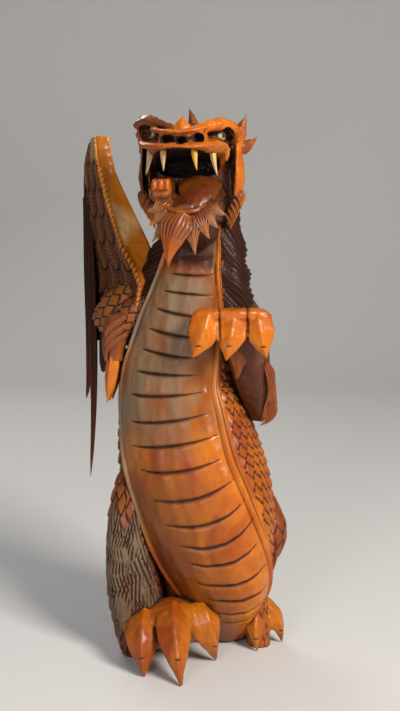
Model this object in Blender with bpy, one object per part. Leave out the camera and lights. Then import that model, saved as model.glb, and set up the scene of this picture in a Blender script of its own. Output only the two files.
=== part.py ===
"""Wooden dragon, carved from one upright log: it rears on its hind feet and tail, jaws open,
the left paw lifted before the chest, one wing raised.

Metres, +Z up. The head looks towards -Y, and the dragon's left is +X. The carving is drawn in
units of a five-hundredth of its height and brought to size once, at the end of the file.
"""

import math

import bmesh
import bpy
import numpy as np
from mathutils import Matrix, Vector

# Driving sizes, in metres
HEIGHT = 0.500                 # ground to the tip of the tall crest spike
BELLY_GROOVE_DEPTH = 0.0032    # the belly plates are parted by V-gouge cuts
BELLY_GROOVE_WIDTH = 0.0048
BORDER_BEAD = 0.0014           # how far the bead beside the belly stands proud
SCALE_RELIEF = 0.0016          # height of a flank scale
WING_EDGE = 0.009              # thickness of the wing at its trailing edge
FEATHER_THICKNESS = 0.0058
FANG_LENGTH = 0.0205
FANG_WIDTH = 0.0055
BELLY_GROOVES = 18
BACK_FINS = 9
FLATNESS = 2.0                 # facets that meet at less than this many degrees become one

UNITS_HIGH = 500.0
UNIT = HEIGHT / UNITS_HIGH
# The drawing's own upright runs through the head; this stands the carving's middle on the origin.
STAND = Vector((13.2, -1.3, 0.0))
BOTH = (1, -1)                 # the dragon's left, then its right


def drawn(metres):
    """A driving size in drawing units."""
    return metres / UNIT


def along(stations, t):
    """Rows of numbers on a smooth line through the stations, at t from 0 to 1."""
    rows = np.array(stations, float)
    last = len(rows) - 1
    place = np.clip(np.atleast_1d(np.asarray(t, float)), 0, 1) * last
    i = np.minimum(place.astype(int), last - 1)
    f = (place - i)[:, None]
    here, after = rows[i], rows[i + 1]
    before = np.where(i[:, None] > 0, rows[np.maximum(i - 1, 0)], 2 * here - after)
    beyond = np.where(i[:, None] < last - 1, rows[np.minimum(i + 2, last)], 2 * after - here)
    return 0.5 * (
        2 * here
        + (after - before) * f
        + (2 * before - 5 * here + 4 * after - beyond) * f**2
        + (3 * here - before - 3 * after + beyond) * f**3
    )


def unit_rows(rows):
    return rows / np.maximum(np.linalg.norm(rows, axis=-1, keepdims=True), 1e-9)


def frames(centres, facing):
    """For each ring: its tangent, its front (facing, squared to the tangent) and its side."""
    tangent = unit_rows(np.gradient(centres, axis=0))
    facing = np.broadcast_to(np.asarray(facing, float), centres.shape)
    front = unit_rows(facing - tangent * np.sum(facing * tangent, axis=1, keepdims=True))
    return tangent, front, np.cross(front, tangent)


def rounded(angle, squareness):
    """Sine and cosine of a ring's angles, pushed out towards a rounded square."""
    s, c = np.sin(angle), np.cos(angle)
    reach = (np.abs(s) ** squareness + np.abs(c) ** squareness) ** (-1 / squareness)
    return s * reach, c * reach


def face_outwards(made):
    bm = bmesh.new()
    bm.from_mesh(made.data)
    bmesh.ops.recalc_face_normals(bm, faces=bm.faces)
    if bm.calc_volume(signed=True) < 0:
        bmesh.ops.reverse_faces(bm, faces=bm.faces)
    bm.to_mesh(made.data)
    bm.free()


def loft(name, rings, start, end):
    """A closed skin over rings of equal count, with a pole at each end."""
    count, around = rings.shape[:2]
    points = np.vstack([rings.reshape(-1, 3), start, end])
    first, last = count * around, count * around + 1
    faces = []
    for k in range(count - 1):
        for j in range(around):
            n = (j + 1) % around
            a, b = k * around, (k + 1) * around
            faces.append((a + j, a + n, b + n, b + j))
    for j in range(around):
        n = (j + 1) % around
        faces.append((first, n, j))
        faces.append((last, (count - 1) * around + j, (count - 1) * around + n))
    mesh = bpy.data.meshes.new(name)
    mesh.from_pydata([tuple(p) for p in points], [], faces)
    made = bpy.data.objects.new(name, mesh)
    blocks.objects.link(made)
    face_outwards(made)
    return made


def limb(name, stations, facing, rings=7, around=10, squareness=2.4):
    """A tapering limb. Each station is x, y, z, half its width and half its depth."""
    table = along(stations, np.linspace(0, 1, rings))
    centres = table[:, :3]
    tangent, front, side = frames(centres, facing)
    angle = np.linspace(0, 2 * math.pi, around, endpoint=False)
    s, c = rounded(angle, squareness)
    skin = (
        centres[:, None]
        + side[:, None] * (table[:, 3:4] * s)[..., None]
        + front[:, None] * (table[:, 4:5] * c)[..., None]
    )
    cap = 0.45
    start = centres[0] - tangent[0] * cap * table[0, 3:5].min()
    end = centres[-1] + tangent[-1] * cap * table[-1, 3:5].min()
    return loft(name, skin, start, end)


# Width and thickness from root to tip, as shares of the whole
LEAF = ((0.6, 0.7), (1.0, 1.0), (0.9, 0.95), (0.5, 0.6))
CLAW = ((1.0, 1.0), (1.0, 0.96), (0.9, 0.86), (0.62, 0.64), (0.3, 0.36))
PLUME = ((0.7, 0.8), (1.0, 1.0), (1.0, 1.0), (0.7, 0.8))
FLAT_BACK = ((0, 1), (1, 0.1), (0.6, -1), (-0.6, -1), (-1, 0.1))
RIDGED = ((0, 1), (1, 0), (0, -0.8), (-1, 0))


def blade(name, root, bend, tip, face, wide, thick, profile=LEAF, rings=4, corners=RIDGED):
    """A pointed leaf, claw or feather with a ridge down its face, which looks along face."""
    t = np.linspace(0, 0.88, rings)[:, None]
    root, bend, tip = (np.array(p, float) for p in (root, bend, tip))
    centres = (1 - t) ** 2 * root + 2 * t * (1 - t) * bend + t**2 * tip
    tangent, front, side = frames(np.vstack([centres, tip]), face)
    shape = along(profile, np.linspace(0, 1, rings))
    half_wide, half_thick = wide / 2 * shape[:, :1], thick / 2 * shape[:, 1:]
    front, side = front[:-1], side[:-1]
    skin = np.stack([centres + side * half_wide * a + front * half_thick * b for a, b in corners], axis=1)
    return loft(name, skin, centres[0] - tangent[0] * thick * 0.2, tip)


def ball(name, centre, radius, stretch=(1, 1, 1), segments=7, rings=5):
    mesh = bpy.data.meshes.new(name)
    bm = bmesh.new()
    bmesh.ops.create_uvsphere(bm, u_segments=segments, v_segments=rings, radius=radius)
    bmesh.ops.transform(bm, matrix=Matrix.Diagonal((*stretch, 1)), verts=bm.verts)
    bmesh.ops.translate(bm, vec=Vector(centre), verts=bm.verts)
    bm.to_mesh(mesh)
    bm.free()
    made = bpy.data.objects.new(name, mesh)
    blocks.objects.link(made)
    return made


# Neck, body and belly

# x, y, z, half width, depth in front, depth behind, half the belly's angle, turn to the right
BODY = (
    (-6, -8, 462, 24, 22, 24, 40, 10),
    (-2, -6, 430, 27, 24, 27, 42, 14),
    (2, -4, 394, 29, 28, 30, 43, 16),
    (-2, -3, 358, 35, 33, 34, 46, 17),
    (-6, -2, 331, 40, 37, 36, 53, 17),
    (-14, 0, 294, 47, 42, 38, 56, 17),
    (-20, 2, 257, 52, 46, 40, 56, 17),
    (-15, 3, 220, 60, 50, 42, 51, 17),
    (-8, 3, 182, 66, 54, 45, 48, 15),
    (3, 3, 144, 65, 57, 48, 53, 13),
    (13, 6, 106, 58, 55, 48, 63, 9),
    (22, 12, 67, 46, 48, 42, 72, -2),
    (26, 22, 35, 33, 34, 34, 77, -8),
    (27, 32, 10, 22, 22, 26, 78, -10),
)
BODY_SQUARENESS = 2.3
BODY_RINGS = 29
BELLY_STEPS = 6              # facets across the belly
FLANK_STEPS = 5              # facets from the belly's border to the spine
BEAD_ANGLE = math.radians(4.5)


def body_rings(places, angles):
    """The body's own frame at places from 0 to 1 down it, and its skin at the angles given."""
    table = along(BODY, places)
    centres = table[:, :3]
    turn = np.radians(table[:, 7])
    facing = np.stack([-np.sin(turn), -np.cos(turn), 0 * turn], axis=1)
    tangent, front, side = frames(centres, facing)
    s, c = rounded(angles, BODY_SQUARENESS)
    depth = np.where(c > 0, table[:, 4:5], table[:, 5:6])
    skin = (
        centres[:, None]
        + side[:, None] * (table[:, 3:4] * s)[..., None]
        + front[:, None] * (depth * c)[..., None]
    )
    return table, skin, unit_rows(skin - centres[:, None])


def body_point(place, angle):
    """A point on the body's skin, and the way out from it."""
    near = np.clip(np.array([place - 0.01, place, place + 0.01]), 0, 1)
    table, skin, outward = body_rings(near, np.full((3, 1), angle))
    return skin[1, 0], outward[1, 0]


def body():
    places = np.linspace(0, 1, BODY_RINGS)
    belly = np.radians(along(BODY, places)[:, 6:7])
    inside = np.linspace(-1, 1, BELLY_STEPS + 2)[1:-1]
    flank = np.linspace(0.16, 1, FLANK_STEPS)[:-1]
    left = np.hstack([belly - BEAD_ANGLE, belly, belly + BEAD_ANGLE, belly + (math.pi - belly) * flank])
    angles = np.hstack([(belly - BEAD_ANGLE) * inside, left, belly * 0 + math.pi, -left[:, ::-1]])
    table, skin, outward = body_rings(places, angles)
    away = np.abs(angles) - belly
    beside = np.abs(np.abs(away) - BEAD_ANGLE) < 0.01
    bead = np.where(np.abs(away) < 0.01, 1.0, 0.0) - np.where(beside, 0.4, 0.0)
    checker = (np.arange(BODY_RINGS)[:, None] + np.arange(angles.shape[1])[None, :]) % 2
    scales = np.where(away > BEAD_ANGLE * 1.5, checker, 0)
    skin = skin + outward * (drawn(BORDER_BEAD) * bead + drawn(SCALE_RELIEF) * scales)[..., None]
    return loft("dragon", skin, table[0, :3] + (0, 0, 6), table[-1, :3] + (0, 6, -12))


# Where the first and last belly cuts lie down the body, and the plate heights between them
FIRST_GROOVE, LAST_GROOVE = 0.212, 0.948
PLATE_TOP, PLATE_MIDDLE, PLATE_FOOT = 17.0, 26.0, 12.0
PLATE_WIDEST = 0.58
GROOVE_REACH = 0.86          # share of the belly's width that a cut crosses


def groove_places():
    """How far down the body, from 0 to 1, each belly cut lies."""
    k = np.linspace(0, 1, BELLY_GROOVES - 1)
    above = PLATE_TOP + (PLATE_MIDDLE - PLATE_TOP) * k / PLATE_WIDEST
    below = PLATE_MIDDLE + (PLATE_FOOT - PLATE_MIDDLE) * (k - PLATE_WIDEST) / (1 - PLATE_WIDEST)
    run = np.concatenate([[0], np.cumsum(np.where(k < PLATE_WIDEST, above, below))])
    return FIRST_GROOVE + (LAST_GROOVE - FIRST_GROOVE) * run / run[-1]


def groove_cutters():
    """Slender spindles that lie across the belly and part its plates."""
    made = []
    for k, place in enumerate(groove_places()):
        belly = math.radians(along(BODY, place)[0, 6]) * GROOVE_REACH
        tilt = 0.010 - 0.016 * k / (BELLY_GROOVES - 1)
        spine = []
        for share in np.linspace(-1, 1, 6):
            point, out = body_point(place - tilt * share, belly * share)
            full = math.sqrt(max(1 - share**4, 0.0))
            spine.append((point + out * 0.6, out, full))
        rings = []
        for point, out, full in spine[1:-1]:
            deep, wide = drawn(BELLY_GROOVE_DEPTH) * full + 0.6, drawn(BELLY_GROOVE_WIDTH) / 2 * full
            up = np.array((0, 0, 1.0))
            rings.append([point - out * deep, point + up * wide + out, point - up * wide + out])
        made.append(loft(f"groove_{k}", np.array(rings), spine[0][0], spine[-1][0]))
    return made


TAIL = (
    (24, 26, 34, 32, 34),
    (27, 54, 24, 28, 28),
    (14, 76, 19, 22, 22),
    (-12, 84, 16, 18, 19),
    (-38, 76, 13, 15, 15),
    (-56, 58, 10, 11, 12),
    (-64, 38, 7, 6, 8),
)


# The haunches' broad back, which joins the legs behind the belly and meets the ground
RUMP = (
    (8, 20, 156, 44, 22),
    (6, 26, 118, 58, 28),
    (4, 28, 72, 60, 28),
    (4, 29, 30, 56, 25),
    (4, 29, -3, 54, 23),
)


def tail_and_rump():
    return [
        limb("tail", TAIL, (0, 0, 1), rings=8, around=8),
        limb("rump", RUMP, (0, -1, 0), rings=6, around=12),
    ]


def back_fins():
    """Pointed plates down the spine, from the nape to the root of the tail."""
    made = []
    for k, place in enumerate(np.linspace(0.1, 0.84, BACK_FINS)):
        skin, out = body_point(place, math.pi)
        size = 1 - abs(k / (BACK_FINS - 1) - 0.55)
        tip = skin + out * (5 + 9 * size) - (0, 0, 5)
        left = np.cross(out, (0, 0, 1))
        root, bend = skin - out * 4 + (0, 0, 8), skin - out * 2
        made.append(blade(f"fin_{k}", root, bend, tip, left, 22, 6, CLAW, rings=3))
    return made


# Head: drawn about its own middle, then turned and set on the neck

HEAD_PLACE = Matrix.Translation((-10, -47, 460)) @ Matrix.Rotation(math.radians(-6), 4, "Z")


def on_head(made):
    for piece in made:
        piece.data.transform(HEAD_PLACE)
    return made


def mirrored(points, side):
    return [(p[0] * side, *p[1:]) for p in points]


def both_ways(stations):
    """A row of stations out from the middle, continued to the other side."""
    return stations + tuple((-p[0], *p[1:]) for p in stations[-2::-1])


def slabs(name, stations, around=12, squareness=3.2, x=0):
    """A form along the head's length. Each station is y, half its width, its top and its bottom."""
    table = np.array(stations, float)
    angle = np.linspace(0, 2 * math.pi, around, endpoint=False) + math.pi / around
    s, c = rounded(angle, squareness)
    middle, tall = (table[:, 2:3] + table[:, 3:4]) / 2, (table[:, 2:3] - table[:, 3:4]) / 2
    deep = np.broadcast_to(table[:, :1], (len(table), around))
    skin = np.stack([x + table[:, 1:2] * s, deep, middle + tall * c], axis=2)
    return loft(name, skin, (x, table[0, 0] + 2, middle[0, 0]), (x, table[-1, 0] - 2, middle[-1, 0]))


SKULL = (
    (42, 18, 8, -16),
    (32, 31, 18, -24),
    (16, 37, 21, -22),
    (4, 37, 20, -8),
    (-9, 35, 15, 0),
    (-22, 34, 12, 0),
    (-35, 31, 11, 1),
    (-44, 24, 9, 2),
)
NOSE = ((-12, 12, 17, 5), (-26, 18, 16, 5), (-39, 22, 15, 5), (-47, 19, 12, 5))
BROW = (
    (7, -33, 15, 3.5, 3.5),
    (17, -26, 19, 4, 5),
    (29, -18, 23, 5, 6),
    (38, -7, 22, 5, 6),
    (42, 3, 14, 4.5, 5),
    (42, 8, 4, 4, 4),
)
UPPER_LIP = (
    (36, -1, -6, 3, 3.5),
    (35, -16, -0.5, 3, 3.5),
    (30, -37, 1, 3, 3.5),
    (15, -46.5, 2, 3, 3.5),
    (0, -49, 2.4, 3, 3.5),
)
THROAT = ((0, 24, 12, 28, 16), (0, 22, -14, 36, 18), (0, 20, -38, 35, 18), (0, 18, -60, 27, 16))
GULLET = ((0, -26, -56, 16, 9), (0, -10, -60, 22, 13), (2, 12, -66, 24, 16))
CREST = ((0, -20, 10, 27, 17, 9), (4, 2, 16, 39.5, 11, 9), (3, 18, 14, 33, 10, 9))
# How far the outer forms of the head stand out, which the log left less room for on the right
CHEEK_OUT = {1: 41, -1: 37}
HORN_OUT = {1: 50, -1: 43}
EAR_OUT = {1: 56, -1: 46}


def upper_head():
    made = [
        slabs("skull", SKULL),
        slabs("nose", NOSE, around=10),
        limb("upper_lip", both_ways(UPPER_LIP), (0, 0, 1), rings=11, around=5),
        limb("throat", THROAT, (0, -1, 0), rings=4, around=10, squareness=3),
        limb("gullet", GULLET, (0, -0.5, 1), rings=3, around=8),
    ]
    for side in BOTH:
        out = CHEEK_OUT[side] * side
        made.append(limb(f"brow_{side}", mirrored(BROW, side), (0, 0, 1), rings=6, around=5))
        cheek = [(out, 12, 8, 6, 13), (out, 11, -8, 6, 13), (out, 12, -24, 6, 13)]
        cheek.append((out * 0.9, 15, -42, 6, 11))
        made.append(limb(f"cheek_{side}", cheek, (0, -1, 0), rings=5, around=6))
        horn, ear = HORN_OUT[side] * side, EAR_OUT[side] * side
        root, bend, tip = (38 * side, 8, 14), (horn * 0.94, 10, 22), (horn, 6, 30)
        made.append(blade(f"horn_{side}", root, bend, tip, (0, -1, 0.3), 14, 10, CLAW, 3))
        root, bend, tip = (39 * side, 18, 2), (ear * 0.96, 20, 2), (ear, 22, 15)
        made.append(blade(f"ear_{side}", root, bend, tip, (0.2 * side, -1, 0), 20, 7, rings=3))
    for k, (x, y, z, top, wide, thick) in enumerate(CREST):
        root, bend, tip = (x, y, z), (x, y, (z + top) / 2), (x - 2, y + 3, top)
        made.append(blade(f"crest_{k}", root, bend, tip, (0, -1, 0.2), wide, thick, rings=3))
    return made


JAW = (
    (0, 16, -36, 33, 12),
    (0, 2, -39, 33, 11),
    (0, -12, -44, 29, 9),
    (0, -25, -51, 22, 8),
    (0, -35, -57, 12, 6),
)
JAW_RIM = (
    (34, 4, -22, 3, 4),
    (32, -11, -27, 3, 4),
    (26, -25, -36, 3, 4),
    (13, -36, -46, 3, 4),
    (0, -39, -49, 3, 4),
)
TONGUE = ((0, 6, -29, 14, 5), (1, -10, -33, 14, 5), (3, -22, -40, 10, 4), (5, -32, -46, 4, 3))


def lower_jaw():
    """The dropped jaw: a trough with a rim, side teeth and a tongue."""
    made = [
        limb("jaw", JAW, (0, -0.45, 1), rings=5, around=10, squareness=3),
        limb("jaw_rim", both_ways(JAW_RIM), (0, -0.4, 1), rings=9, around=4),
        limb("tongue", TONGUE, (0, -0.45, 1), rings=4, around=5),
    ]
    for side in BOTH:
        for k, (x, y, z) in enumerate(((30, -11, -22), (26, -20, -27))):
            tooth = ((y + 4, 3.6, z + 3, z - 8), (y - 4, 3.6, z + 1, z - 9))
            made.append(slabs(f"tooth_{side}_{k}", tooth, 6, x=x * side))
    return made


# x of each fang's root, y, how far its tip leans out, and its share of the full length
FANGS = ((-28, -31, -4, 1.05), (-15, -42, 0, 0.9), (10, -42, 1, 0.9), (23, -36, 4, 1.12))


def fangs():
    made = []
    for k, (x, y, lean, share) in enumerate(FANGS):
        length = drawn(FANG_LENGTH) * share
        bend, tip = (x, y - 2, 1 - length * 0.45), (x + lean, y + 1, 1 - length)
        made.append(blade(f"fang_{k}", (x, y, 2), bend, tip, (0, -1, 0), drawn(FANG_WIDTH), 5.5, CLAW, 3))
    return made


BEARD_TUFTS = 8
BEARD_FAN = math.radians(84)


def beard():
    """Leaf-shaped tufts that fan out from under the chin, with one long goatee."""
    made = []
    for k in range(BEARD_TUFTS):
        swing = BEARD_FAN * (2 * k / (BEARD_TUFTS - 1) - 1)
        side, down = math.sin(swing), math.cos(swing)
        reach = 41 + (3 if k % 2 else -3)
        root = (12 * side, -36 + 14 * side**2, -48 - 5 * down + 8 * side**2)
        bend = (26 * side, -43 + 20 * side**2, -42 - 22 * down)
        tip = (reach * side, -38 + 26 * side**2, -40 - reach * down)
        made.append(blade(f"tuft_{k}", root, bend, tip, (side * 0.6, -1, 0), 17, 5, rings=3))
    root, bend, tip = (-4, -38, -58), (-14, -46, -72), (-14, -36, -97)
    made.append(blade("goatee", root, bend, tip, (-0.3, -1, 0), 26, 9, LEAF, 5))
    for side in BOTH:
        x = CHEEK_OUT[side] * side
        root, bend, tip = (x, 8, -32), (x + 6 * side, 6, -40), (x + 2 * side, 8, -54)
        made.append(blade(f"jowl_{side}", root, bend, tip, (side * 0.6, -1, 0), 14, 7, rings=3))
    return made


def eyes():
    return [ball(f"eye_{side}", (32 * side, -14, 12), 6.0) for side in BOTH]


def head_hollows():
    """Cutters: the mouth, the nostrils and the eye sockets."""
    mouth = ((22, 19, -6, -26), (6, 26, -3, -30), (-14, 28, -1, -31), (-30, 27, 0, -37), (-64, 27, 1, -44))
    made = [slabs("mouth_hollow", mouth, around=10)]
    for side in BOTH:
        made.append(ball(f"nostril_{side}", (15 * side, -45, 9), 4.2, (1.15, 1.6, 0.85)))
        made.append(ball(f"socket_{side}", (36 * side, -10, 11), 8.5, (1.0, 1.2, 0.8)))
    return made


# Arms and paws


UPPER_ARM = (
    (22, 2, 336, 12, 16),
    (38, 4, 314, 19, 21),
    (46, 2, 286, 17, 19),
    (52, -2, 256, 13, 15),
    (55, -6, 228, 9, 11),
)
FOREARM = ((55, -8, 226, 9, 10), (51, -20, 250, 14, 13), (42, -36, 280, 19, 13), (30, -52, 310, 24, 13))
PALM = (
    (-3, -58, 317, 8, 10),
    (6, -59, 318, 11, 14),
    (28, -60, 318, 11.5, 16),
    (50, -59, 318, 11, 14),
    (58, -58, 317, 8, 10),
)
THUMB = ((33, -44, 306), (34, -54, 288), (32, -46, 264))
# Each finger's middle at the knuckles, its width and its tip
FINGERS = ((5, 18, (-8, -70, 287)), (22, 22, (23.5, -78, 284)), (45, 25, (59, -68, 285)))


def left_arm():
    made = [
        limb("left_upper_arm", UPPER_ARM, (0, -1, 0), rings=6, around=8),
        limb("left_forearm", FOREARM, (-0.3, -1, -0.6), rings=5, around=8, squareness=2.8),
        limb("left_palm", PALM, (0, -1, 0), rings=5, around=8, squareness=3.6),
        blade("left_thumb", *THUMB, (0, -1, 0), 20, 14, CLAW, 4, FLAT_BACK),
    ]
    for k, (x, wide, tip) in enumerate(FINGERS):
        root, bend = (x, -62, 326), (x * 0.85 + tip[0] * 0.15, -78, 310)
        made.append(blade(f"left_finger_{k}", root, bend, tip, (0, -1, 0.1), wide, 18, CLAW, 5, FLAT_BACK))
    for k in range(3):
        root, bend = (60 - k, -14 + k * 5, 266 - k * 9), (70 - k, -14 + k * 5, 254 - k * 8)
        tip = (62 - k, -10 + k * 5, 240 - k * 6)
        made.append(blade(f"left_elbow_tuft_{k}", root, bend, tip, (1, -0.5, 0), 14, 7, rings=3))
    return made


RIGHT_ARM = (
    (-34, 8, 334, 14, 18),
    (-54, 8, 324, 16, 18),
    (-72, 2, 308, 13, 15),
    (-78, -3, 292, 11, 13),
    (-78, -5, 276, 9, 11),
)


def right_arm():
    made = [limb("right_arm", RIGHT_ARM, (0.2, -1, 0), rings=7, around=8)]
    for k in range(3):
        y = -10 + k * 8
        root, bend, tip = (-78 + k * 3, y, 282), (-80, y - 3, 262), (-85 + k * 2, y, 237)
        made.append(blade(f"right_finger_{k}", root, bend, tip, (-0.5, -1, 0), 13, 11, CLAW, 4))
        y = -4 + k * 7
        root, bend, tip = (-80, y, 316), (-92, y - 4, 304), (-86 + k * 4, y, 288)
        made.append(blade(f"right_elbow_tuft_{k}", root, bend, tip, (-1, -0.5, 0), 12, 6, rings=3))
    return made


# Legs and feet

RIGHT_LEG = (
    (-57, 8, 186, 9, 14),
    (-62, 5, 162, 15, 23),
    (-65, 0, 132, 19, 29),
    (-65, -4, 100, 22, 31),
    (-62, -6, 72, 24.5, 31),
    (-59, -7, 46, 24, 29),
    (-58, -6, 22, 22, 26),
    (-58, -5, -3, 21, 24),
)
LEFT_LEG = (
    (54, 20, 152, 9, 14),
    (60, 20, 134, 15, 23),
    (63.5, 20, 110, 18, 28),
    (62, 19, 88, 17, 27),
    (56, 18, 64, 15, 24),
    (54, 16, 42, 14, 21),
    (56, 15, 20, 15, 20),
    (57, 15, -3, 15, 19),
)


def foot(side, stations, toes, wide, thick):
    """An arched foot and its wedge-shaped toes, which come down to the ground at their tips."""
    made = [limb(f"{side}_foot", stations, (0, -1, 0), rings=5, around=9, squareness=2.8)]
    for k, (root, bend, tip, out) in enumerate(toes):
        made.append(blade(f"{side}_toe_{k}", root, bend, tip, out, wide, thick, CLAW, 4, FLAT_BACK))
    return made


def right_leg():
    made = [limb("right_leg", RIGHT_LEG, (-0.1, -1, 0), rings=8, around=9)]
    arch = (
        (-62, -24, 24, 17, 20),
        (-44, -27, 32, 18, 22),
        (-24, -27, 38, 20, 22),
        (-5, -21, 36, 17, 19),
        (8, -14, 32, 11, 14),
    )
    toes = (
        ((-51, -34, 40), (-53, -64, 36), (-53, -70, -1), (-0.1, -1, 0.4)),
        ((-26, -36, 50), (-24, -74, 44), (-17, -84, -1), (0.1, -1, 0.4)),
        ((-2, -24, 48), (8, -46, 42), (14, -30, -1), (0.6, -1, 0.4)),
    )
    made += foot("right", arch, toes, 27, 22)
    for k in range(3):
        root, tip = (-72 + k * 2, 4 - k * 2, 64 - k * 20), (-84 + k * 4, 2 - k * 2, 42 - k * 16)
        bend = (-86 + k * 4, 2 - k * 2, 58 - k * 18)
        made.append(blade(f"heel_tuft_{k}", root, bend, tip, (-1, -0.6, 0), 15, 7, rings=3))
    return made


def left_leg():
    made = [limb("left_leg", LEFT_LEG, (0.2, -1, 0), rings=7, around=9)]
    arch = ((46, 4, 18, 10, 12), (58, 2, 22, 13, 14), (70, 8, 20, 11, 13))
    toes = (
        ((52, -2, 24), (50, -16, 20), (57, -10, -1), (-0.1, -1, 0.4)),
        ((66, 0, 30), (76, -4, 26), (79, 12, -1), (0.7, -1, 0.4)),
        ((68, 16, 26), (84, 20, 22), (80, 32, -1), (1, 0.2, 0.4)),
    )
    return made + foot("left", arch, toes, 17, 15)


# The raised wing: height, then x and y of the near ridge, the far edge of the smooth front
# panel, and the trailing edge

WING = (
    (290, -64, 4, -46, 14, -100, 42),
    (318, -59, -6, -38, 8, -107, 54),
    (345, -54, -12, -34, 2, -110, 57),
    (362, -60, -12, -39, 1, -111, 58),
    (381, -71, -10, -45, 4, -111, 58),
    (414, -81, -8, -61, 6, -111, 57),
    (444, -89, -6, -75, 8, -110, 52),
    (462, -92, -5, -79, 8, -107, 42),
    (477, -93, -4, -82, 8, -99, 26),
)


def wing_board():
    """The wing's thick board: a smooth front panel, an outer face for feathers and an inner face."""
    rings = []
    for z, *spots in along(WING, np.linspace(0, 1, 10)):
        near, far, back = (np.array(spots[i : i + 2]) for i in (0, 2, 4))
        chord = (back - near) / np.linalg.norm(back - near)
        inward = np.array((chord[1], -chord[0])) * drawn(WING_EDGE)
        panel, inner = (near + far) / 2 + (1.5, -1.5), far * 0.4 + back * 0.6 + inward
        ring = (near, panel, far, inner, back + inward, back)
        rings.append([(*p, z) for p in ring])
    skin = np.array(rings)
    board = loft("wing_board", skin, skin[0].mean(0) - (0, 0, 4), skin[-1].mean(0) + (0, 0, 2))
    root = ((-34, 14, 344, 20, 18), (-54, 16, 332, 22, 20), (-76, 22, 318, 20, 16), (-92, 32, 306, 12, 10))
    return [board, limb("wing_root", root, (0, -1, 0), rings=6, around=8)]


def on_wing(z, share):
    """A point on the wing's outer face, at a height and a share of the way to its trailing edge."""
    rows = np.array(WING, float)
    near = np.array([np.interp(z, rows[:, 0], rows[:, i]) for i in (1, 2)])
    back = np.array([np.interp(z, rows[:, 0], rows[:, i]) for i in (5, 6)])
    chord = (back - near) / np.linalg.norm(back - near)
    return np.array((*(near + (back - near) * share), z)), np.array((-chord[1], chord[0], 0.0))


# Each long feather's share of the way back, and the heights of its root and tip
PRIMARIES = ((1.0, 464, 204), (0.88, 450, 226), (0.74, 424, 196), (0.58, 396, 154), (0.42, 370, 236))
COVERT_ROWS, COVERT_STEP = 5, 33.0


def wing_feathers():
    made = []
    thick = drawn(FEATHER_THICKNESS)
    foot_of_board = WING[0][0]
    for k, (share, top, tip) in enumerate(PRIMARIES):
        root, out = on_wing(top, share)
        low, _ = on_wing(foot_of_board, share)
        end = low + (-2, 2, tip - foot_of_board)
        middle = (root + end) / 2 + out * (3 + k * 0.8)
        made.append(blade(f"primary_{k}", root, middle, end, out, 18, thick * 1.6, PLUME, 4))
    for row in range(COVERT_ROWS):
        for k in range(2):
            share, z = 0.14 + 0.34 * k, 462 - row * COVERT_STEP - (k % 2) * 12
            root, out = on_wing(z, share)
            tip, _ = on_wing(z - 38, share + 0.16)
            bend = (root + tip) / 2 + out * 6
            made.append(blade(f"covert_{row}_{k}", root, bend, tip + out * 2, out, 28, thick, PLUME, 3))
    return made


# Mane

MANE_ROWS = 3
MANE_COLUMNS = 2


def mane():
    """Locks down both sides of the neck, each overlapping the next."""
    made = []
    for side in BOTH:
        for row in range(MANE_ROWS):
            for k in range(MANE_COLUMNS):
                place = 0.09 + row * 0.078 + k * 0.036
                turn = side * math.radians(84 + k * 44)
                root, out = body_point(place, turn)
                tip, after = body_point(place + 0.105, turn + side * 0.3)
                bend = (root + tip) / 2 + out * 8
                root, tip = root - out * 3, tip + after * 5
                made.append(blade(f"mane_{side}_{row}_{k}", root, bend, tip, out, 28, 11, rings=3))
    return made


# The whole carving


def gather(name, made):
    """A collection for a Boolean to take as one."""
    group = bpy.data.collections.new(name)
    bpy.context.scene.collection.children.link(group)
    for piece in made:
        blocks.objects.unlink(piece)
        group.objects.link(piece)
        piece.hide_render = True
        piece.display_type = "WIRE"
    return group


def shape(target, operation, name, made):
    """Joins pieces to the target, or cuts them from it, and settles the result."""
    step = target.modifiers.new(name, "BOOLEAN")
    step.operation = operation
    step.operand_type = "COLLECTION"
    step.collection = gather(name, made)
    step.solver = "MANIFOLD"
    graph = bpy.context.evaluated_depsgraph_get()
    mesh = bpy.data.meshes.new_from_object(target.evaluated_get(graph))
    target.modifiers.clear()
    target.data = mesh


def tidy_up(target):
    """Removes the specks that cuts leave loose, and joins facets that lie in one plane."""
    bm = bmesh.new()
    bm.from_mesh(target.data)
    left, shells = set(bm.faces), []
    while left:
        shell, edge_of_shell = [], [left.pop()]
        while edge_of_shell:
            face = edge_of_shell.pop()
            shell.append(face)
            for edge in face.edges:
                for near in edge.link_faces:
                    if near in left:
                        left.remove(near)
                        edge_of_shell.append(near)
        shells.append(shell)
    shells.sort(key=len)
    bmesh.ops.delete(bm, geom=[face for shell in shells[:-1] for face in shell], context="FACES")
    flat = {"angle_limit": math.radians(FLATNESS), "use_dissolve_boundaries": False}
    bmesh.ops.dissolve_limit(bm, verts=bm.verts, edges=bm.edges, **flat)
    bm.to_mesh(target.data)
    bm.free()


def ground():
    """Everything below the level that the carving stands on."""
    mesh = bpy.data.meshes.new("ground")
    bm = bmesh.new()
    bmesh.ops.create_cube(bm, size=400)
    bmesh.ops.translate(bm, vec=(0, 0, -200), verts=bm.verts)
    bm.to_mesh(mesh)
    bm.free()
    made = bpy.data.objects.new("ground", mesh)
    blocks.objects.link(made)
    return [made]


def stained_wood():
    wood = bpy.data.materials.new("stained_wood")
    wood.use_nodes = True
    shader = wood.node_tree.nodes["Principled BSDF"]
    shader.inputs["Base Color"].default_value = (0.42, 0.13, 0.025, 1)
    shader.inputs["Roughness"].default_value = 0.38
    shader.inputs["Metallic"].default_value = 0.0
    return wood


for old in list(bpy.data.objects):
    bpy.data.objects.remove(old)
blocks = bpy.data.collections.new("Wooden dragon")
bpy.context.scene.collection.children.link(blocks)

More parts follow.
